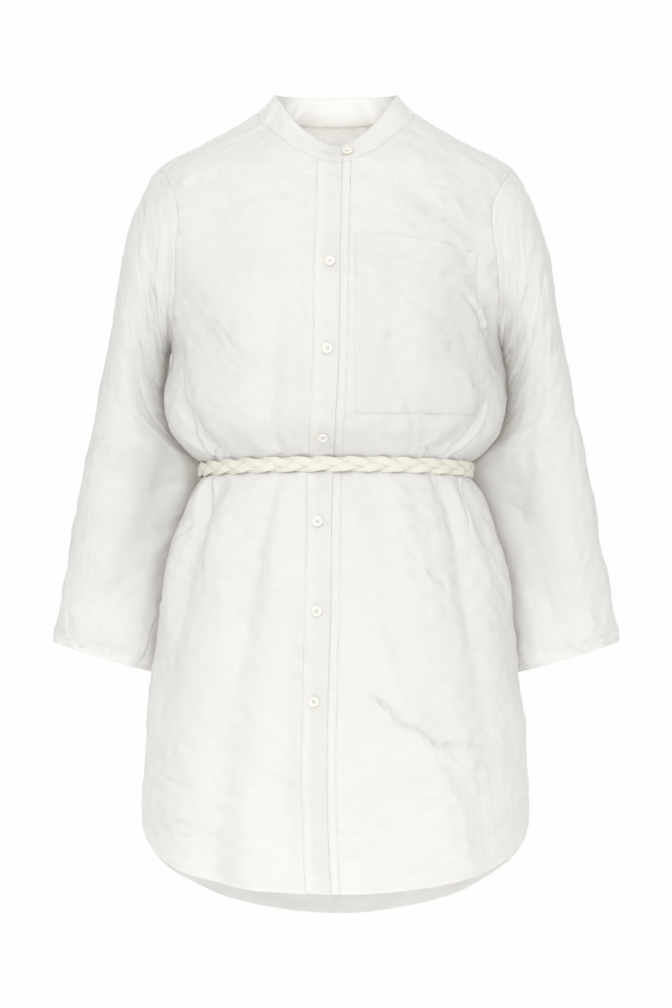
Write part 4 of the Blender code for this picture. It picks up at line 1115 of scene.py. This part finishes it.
def joined(name, parts):
    """One piece from several (points, faces)."""
    faces, first = [], 0
    for points, part_faces in parts:
        faces += [[first + k for k in face] for face in part_faces]
        first += len(points)
    return add_mesh(name, np.concatenate([points for points, _ in parts]), faces)


def sewing_thread(name, matrix):
    """Two pairs of thread through the holes of a button."""
    t = np.linspace(-1, 1, 7)
    rise = BUTTON_HEIGHT * 0.72 + 0.0003 * (1 - t ** 4) - 0.0006 * t ** 6
    lines = [y * HOLE_OFF + shift for y in (-1, 1) for shift in (-0.00018, 0.00018)]
    parts = [tube(np.stack([t * HOLE_OFF, np.full(7, y), rise], -1), 0.00017, 6) for y in lines]
    thing = joined(name, parts)
    thing.matrix_world = matrix
    dressed(thing, thread)


def buttonhole(name, line, facing):
    """A worked slit: close stitches up both sides and a bar at each end."""
    along = unit(line[-1] - line[0])
    side = unit(np.cross(along, facing))
    parts = []
    for share in np.arange(HOLE_STITCHES + 1) / HOLE_STITCHES:
        middle = blend(line[0], line[-1], share)
        for half in (-1, 1):
            start = middle + side * half * 0.00025
            end = middle + side * half * HOLE_WIDTH / 2
            lump = np.stack([start, blend(start, end, 0.5) + facing * 0.00022, end])
            parts.append(tube(lump, 0.00024, 5))
    for end in (0, -1):
        half_bar = side * HOLE_WIDTH * 0.62
        bar = [line[end] - half_bar, line[end] + facing * 0.0002, line[end] + half_bar]
        parts.append(tube(bar, 0.00034, 6))
    dressed(joined(name, parts), thread)


button_mesh = pierced_button()


def place_button(name, centre, outward, up):
    thing = bpy.data.objects.new(f"{name}_shell", button_mesh.copy())
    bpy.context.scene.collection.objects.link(thing)
    matrix = facing_matrix(Vector(centre), Vector(outward), Vector(up))
    thing.matrix_world = matrix
    dressed(thing, shell, name)
    sewing_thread(f"thread_{name}", matrix)


for number, row in enumerate(BUTTONS, start=1):
    angle = float(angle_at(edge_x(row.z) - row.inset, row.z))
    face = DOUBLE_CLOTH + LAYER_GAP
    outward = unit(cloth(angle, row.z, 0.01) - skin(angle, row.z))
    centre = cloth(angle, row.z, face) + outward * 0.0003
    place_button(f"button_{number}", centre, outward, (0, 0, 1))
    ends = [cloth(angle, row.z + rise, face + 0.0001) for rise in (-HOLE_LENGTH / 2, HOLE_LENGTH / 2)]
    buttonhole(f"buttonhole_{number}", np.array(ends), outward)

collar_z = float(neck_z(0))
x, up_share = COLLAR_BUTTON
angle = np.array(float(angle_at(x, collar_z)) - 360)
at, above = [collar_point(angle, np.array(share)) for share in (up_share, up_share + 0.3)]
beside = collar_point(angle + 1, np.array(up_share)) - collar_point(angle - 1, np.array(up_share))
outward = unit(np.cross(beside, above - at))
place_button("button_collar", at + outward * 0.0003, outward, above - at)
x, up_share = COLLAR_HOLE
angles = [float(angle_at(x + shift, collar_z)) for shift in (-HOLE_LENGTH / 2, HOLE_LENGTH / 2)]
ends = np.array([collar_point(np.array(angle), np.array(up_share)) for angle in angles])
above = collar_point(np.array(angles[0]), np.array(up_share + 0.3)) - ends[0]
outward = unit(np.cross(ends[1] - ends[0], above))
buttonhole("buttonhole_collar", ends + outward * 0.0002, outward)

# ---- the belt -------------------------------------------------------------
# Three soft ivory tubes of linen in a loose flat plait, pulled tight round the
# waist and closed by a plain knot at the centre back.
BRAID_PERIODS = 9
BRAID_HALF_HEIGHT = 0.0039
BRAID_HALF_DEPTH = 0.0022
STRAND_HALF_WIDTH = 0.0047
STRAND_HALF_THICK = 0.0019
BELT_CLEAR = 0.0010
KNOT_SIZE = (0.026, 0.015, 0.019)
KNOT_CLEAR = 0.0020
KNOT_HIDES = 0.004        # the strands end inside the knot
KNOT_STRAND = 0.0036
KNOT_INSET = 0.003
KNOT_DEPTH = 0.0042
STRAND_POINTS = 420
STRAND_SIDES = 18
BELT_LIGHT = (0.755, 0.732, 0.655)
BELT_DEEP = (0.705, 0.677, 0.590)

belt_cloth, belt_surface, belt_shade = new_material("belt_linen", 0.8, sheen=0.2)
spot = belt_shade.node("ShaderNodeAttribute", {"attribute_name": "place"}, output="Vector")
twill = spot.node("ShaderNodeVectorMath", {"operation": "MULTIPLY"}, {0: spot, 1: (700, 260, 0)})
fibre = spot.node("ShaderNodeTexNoise", None, {"Vector": twill, "Scale": 1.0, "Detail": 2.0})
patchy = spot.node("ShaderNodeTexNoise", None, {"Vector": spot, "Scale": 120.0, "Detail": 2.0})
belt_tone = (0.55 * fibre + 0.45 * patchy).mix((*BELT_DEEP, 1), (*BELT_LIGHT, 1))
belt_bump = spot.node(
    "ShaderNodeBump", None, {"Strength": 0.7, "Distance": 0.0004, "Height": fibre + patchy},
)
belt_cloth.node_tree.links.new(belt_tone.socket, belt_surface.inputs["Base Color"])
belt_cloth.node_tree.links.new(belt_bump.socket, belt_surface.inputs["Normal"])


def belt_line():
    """Even points round the waist from the knot, with their outward direction."""
    fine = np.linspace(180, 540, 1441)
    level = belt_z(fine)
    side, front_reach, back_reach = reach(level - belt_shift(fine, level))
    sin, cos = np.sin(np.radians(fine)), np.cos(np.radians(fine))
    line = np.stack([side * sin, -np.where(cos > 0, front_reach, back_reach) * cos, level], -1)
    gone = gone_along(line)
    at = np.linspace(KNOT_HIDES, gone[-1] - KNOT_HIDES, STRAND_POINTS)
    even = at_distance(at, gone, line)
    return even, unit(np.cross(np.gradient(even, axis=0), (0, 0, 1))), at


def rounded(wave, power):
    """A wave with fuller or flatter turns, which squares a round section off."""
    return np.sign(wave) * np.abs(wave) ** power


def strand(name, phase):
    line, outward, gone = belt_line()
    turn_by = 2 * math.pi * BRAID_PERIODS * np.arange(STRAND_POINTS) / (STRAND_POINTS - 1) + phase
    rise = ease((line[:, 0] + 0.055) / 0.020) * (1 - ease((line[:, 0] - 0.002) / 0.020)) * (line[:, 1] < 0)
    out = (DOUBLE_CLOTH + LAYER_GAP) * rise + BELT_CLEAR + STRAND_HALF_THICK
    out = out + BRAID_HALF_DEPTH * (1 + np.sin(2 * turn_by))
    path = line + outward * out[:, None]
    path[:, 2] += BRAID_HALF_HEIGHT * np.cos(turn_by)
    along = unit(np.gradient(path, axis=0))
    flat = unit(np.cross(along, outward))
    thick = np.cross(flat, along)
    around = np.radians(np.arange(STRAND_SIDES) * 360 / STRAND_SIDES)
    rng = np.random.default_rng(int(phase * 10) + 3)
    soft = 1 + 0.05 * np.sin(gone * 2 * math.pi / 0.013 + rng.uniform(0, 6))
    soft = soft + 0.03 * np.sin(gone * 2 * math.pi / 0.0057)
    ridge = 1 + 0.05 * np.sin(3 * around + gone[:, None] * 2 * math.pi / 0.021 + rng.uniform(0, 6))
    wide = (STRAND_HALF_WIDTH * soft)[:, None] * rounded(np.cos(around), 0.8) * ridge
    deep = STRAND_HALF_THICK * rounded(np.sin(around), 0.6) * ridge
    shape = path[:, None] + flat[:, None] * wide[..., None] + thick[:, None] * deep[..., None]
    place = np.stack(np.broadcast_arrays(around[None] * 0.003, gone[:, None], 0.0), -1)
    thing = add_mesh(f"{name}_tube", shape, grid_faces(STRAND_POINTS, STRAND_SIDES, closed=True), place)
    dressed(thing, belt_cloth, name)


for letter, third in zip("abc", range(3)):
    strand(f"belt_strand_{letter}", 2 * math.pi * third / 3)

t = np.linspace(0, 2 * math.pi, 161)
knot_path = np.stack([
    (np.sin(t) + 2 * np.sin(2 * t)) / 3 * (KNOT_SIZE[0] / 2 - KNOT_INSET),
    -np.sin(3 * t) * KNOT_DEPTH,
    (np.cos(t) - 2 * np.cos(2 * t)) / 3 * (KNOT_SIZE[2] / 2 - KNOT_INSET),
], -1)
waist_back = through(SECTIONS, "z", "back", np.array(WAIST_Z))
knot_centre = np.array([0, float(waist_back) + KNOT_SIZE[1] / 2 + KNOT_CLEAR, float(belt_z(180.0))])
knot_points, knot_faces = tube(knot_path + knot_centre, KNOT_STRAND, 14)
knot_piece = add_mesh("belt_knot_tie", knot_points, knot_faces, knot_points)
dressed(knot_piece, belt_cloth, "belt_knot")

# ---- the studio -----------------------------------------------------------
# A plain pale floor well below the blouse, a white surround, large soft lights
# from the front, and weaker ones behind that shine through neck and sleeves.
FLOOR_Z = -1.45
FLOOR_RADIUS = 2.4

around = np.radians(np.arange(96) * 360 / 96)
ring = np.stack([np.cos(around) * FLOOR_RADIUS, np.sin(around) * FLOOR_RADIUS, np.full(96, FLOOR_Z)], -1)
floor = add_mesh("floor", ring, [list(range(96))])
floor_finish, floor_surface, _ = new_material("floor_white", 0.9)
floor_surface.inputs["Base Color"].default_value = (0.9, 0.9, 0.9, 1)
floor_surface.inputs["Emission Color"].default_value = (1, 1, 1, 1)
floor_surface.inputs["Emission Strength"].default_value = 0.12
floor.data.materials.append(floor_finish)

AMBIENT = 0.72            # the surround's light on the cloth
BACKDROP = 0.99           # and its brightness in the picture
world = bpy.data.worlds.new("studio")
bpy.context.scene.world = world
world.use_nodes = True
sky = Shade(world.node_tree)
seen = sky.node("ShaderNodeLightPath", output="Is Camera Ray")
world_light = world.node_tree.nodes["Background"]
world_light.inputs["Color"].default_value = (1, 1, 1, 1)
strength = AMBIENT + (BACKDROP - AMBIENT) * seen
world.node_tree.links.new(strength.socket, world_light.inputs["Strength"])


def soft_light(name, at, aim, size, power):
    lamp = bpy.data.lights.new(name, "AREA")
    lamp.shape = "DISK"
    lamp.size = size
    lamp.energy = power
    thing = bpy.data.objects.new(name, lamp)
    thing.location = at
    thing.rotation_euler = (Vector(aim) - Vector(at)).to_track_quat("-Z", "Y").to_euler()
    bpy.context.scene.collection.objects.link(thing)


MIDDLE = (0, 0, -0.42)
soft_light("left_light", (-1.3, -3.8, 0.9), MIDDLE, 1.2, 26)
soft_light("right_light", (1.2, -3.8, 0.6), MIDDLE, 1.6, 22)
soft_light("front_light", (0.0, -4.2, 0.1), MIDDLE, 1.8, 26)
soft_light("top_light", (-0.4, -1.9, 2.2), (0, 0, -0.2), 1.4, 12)
soft_light("neck_light", (0.0, 1.2, 1.1), (0, 0, -0.1), 0.8, 6)
soft_light("back_left_light", (-1.5, 1.5, 0.2), (-0.1, 0, -0.35), 0.9, 9)
soft_light("back_right_light", (1.5, 1.5, 0.2), (0.1, 0, -0.35), 0.9, 9)
bpy.context.scene.view_settings.view_transform = "Standard"
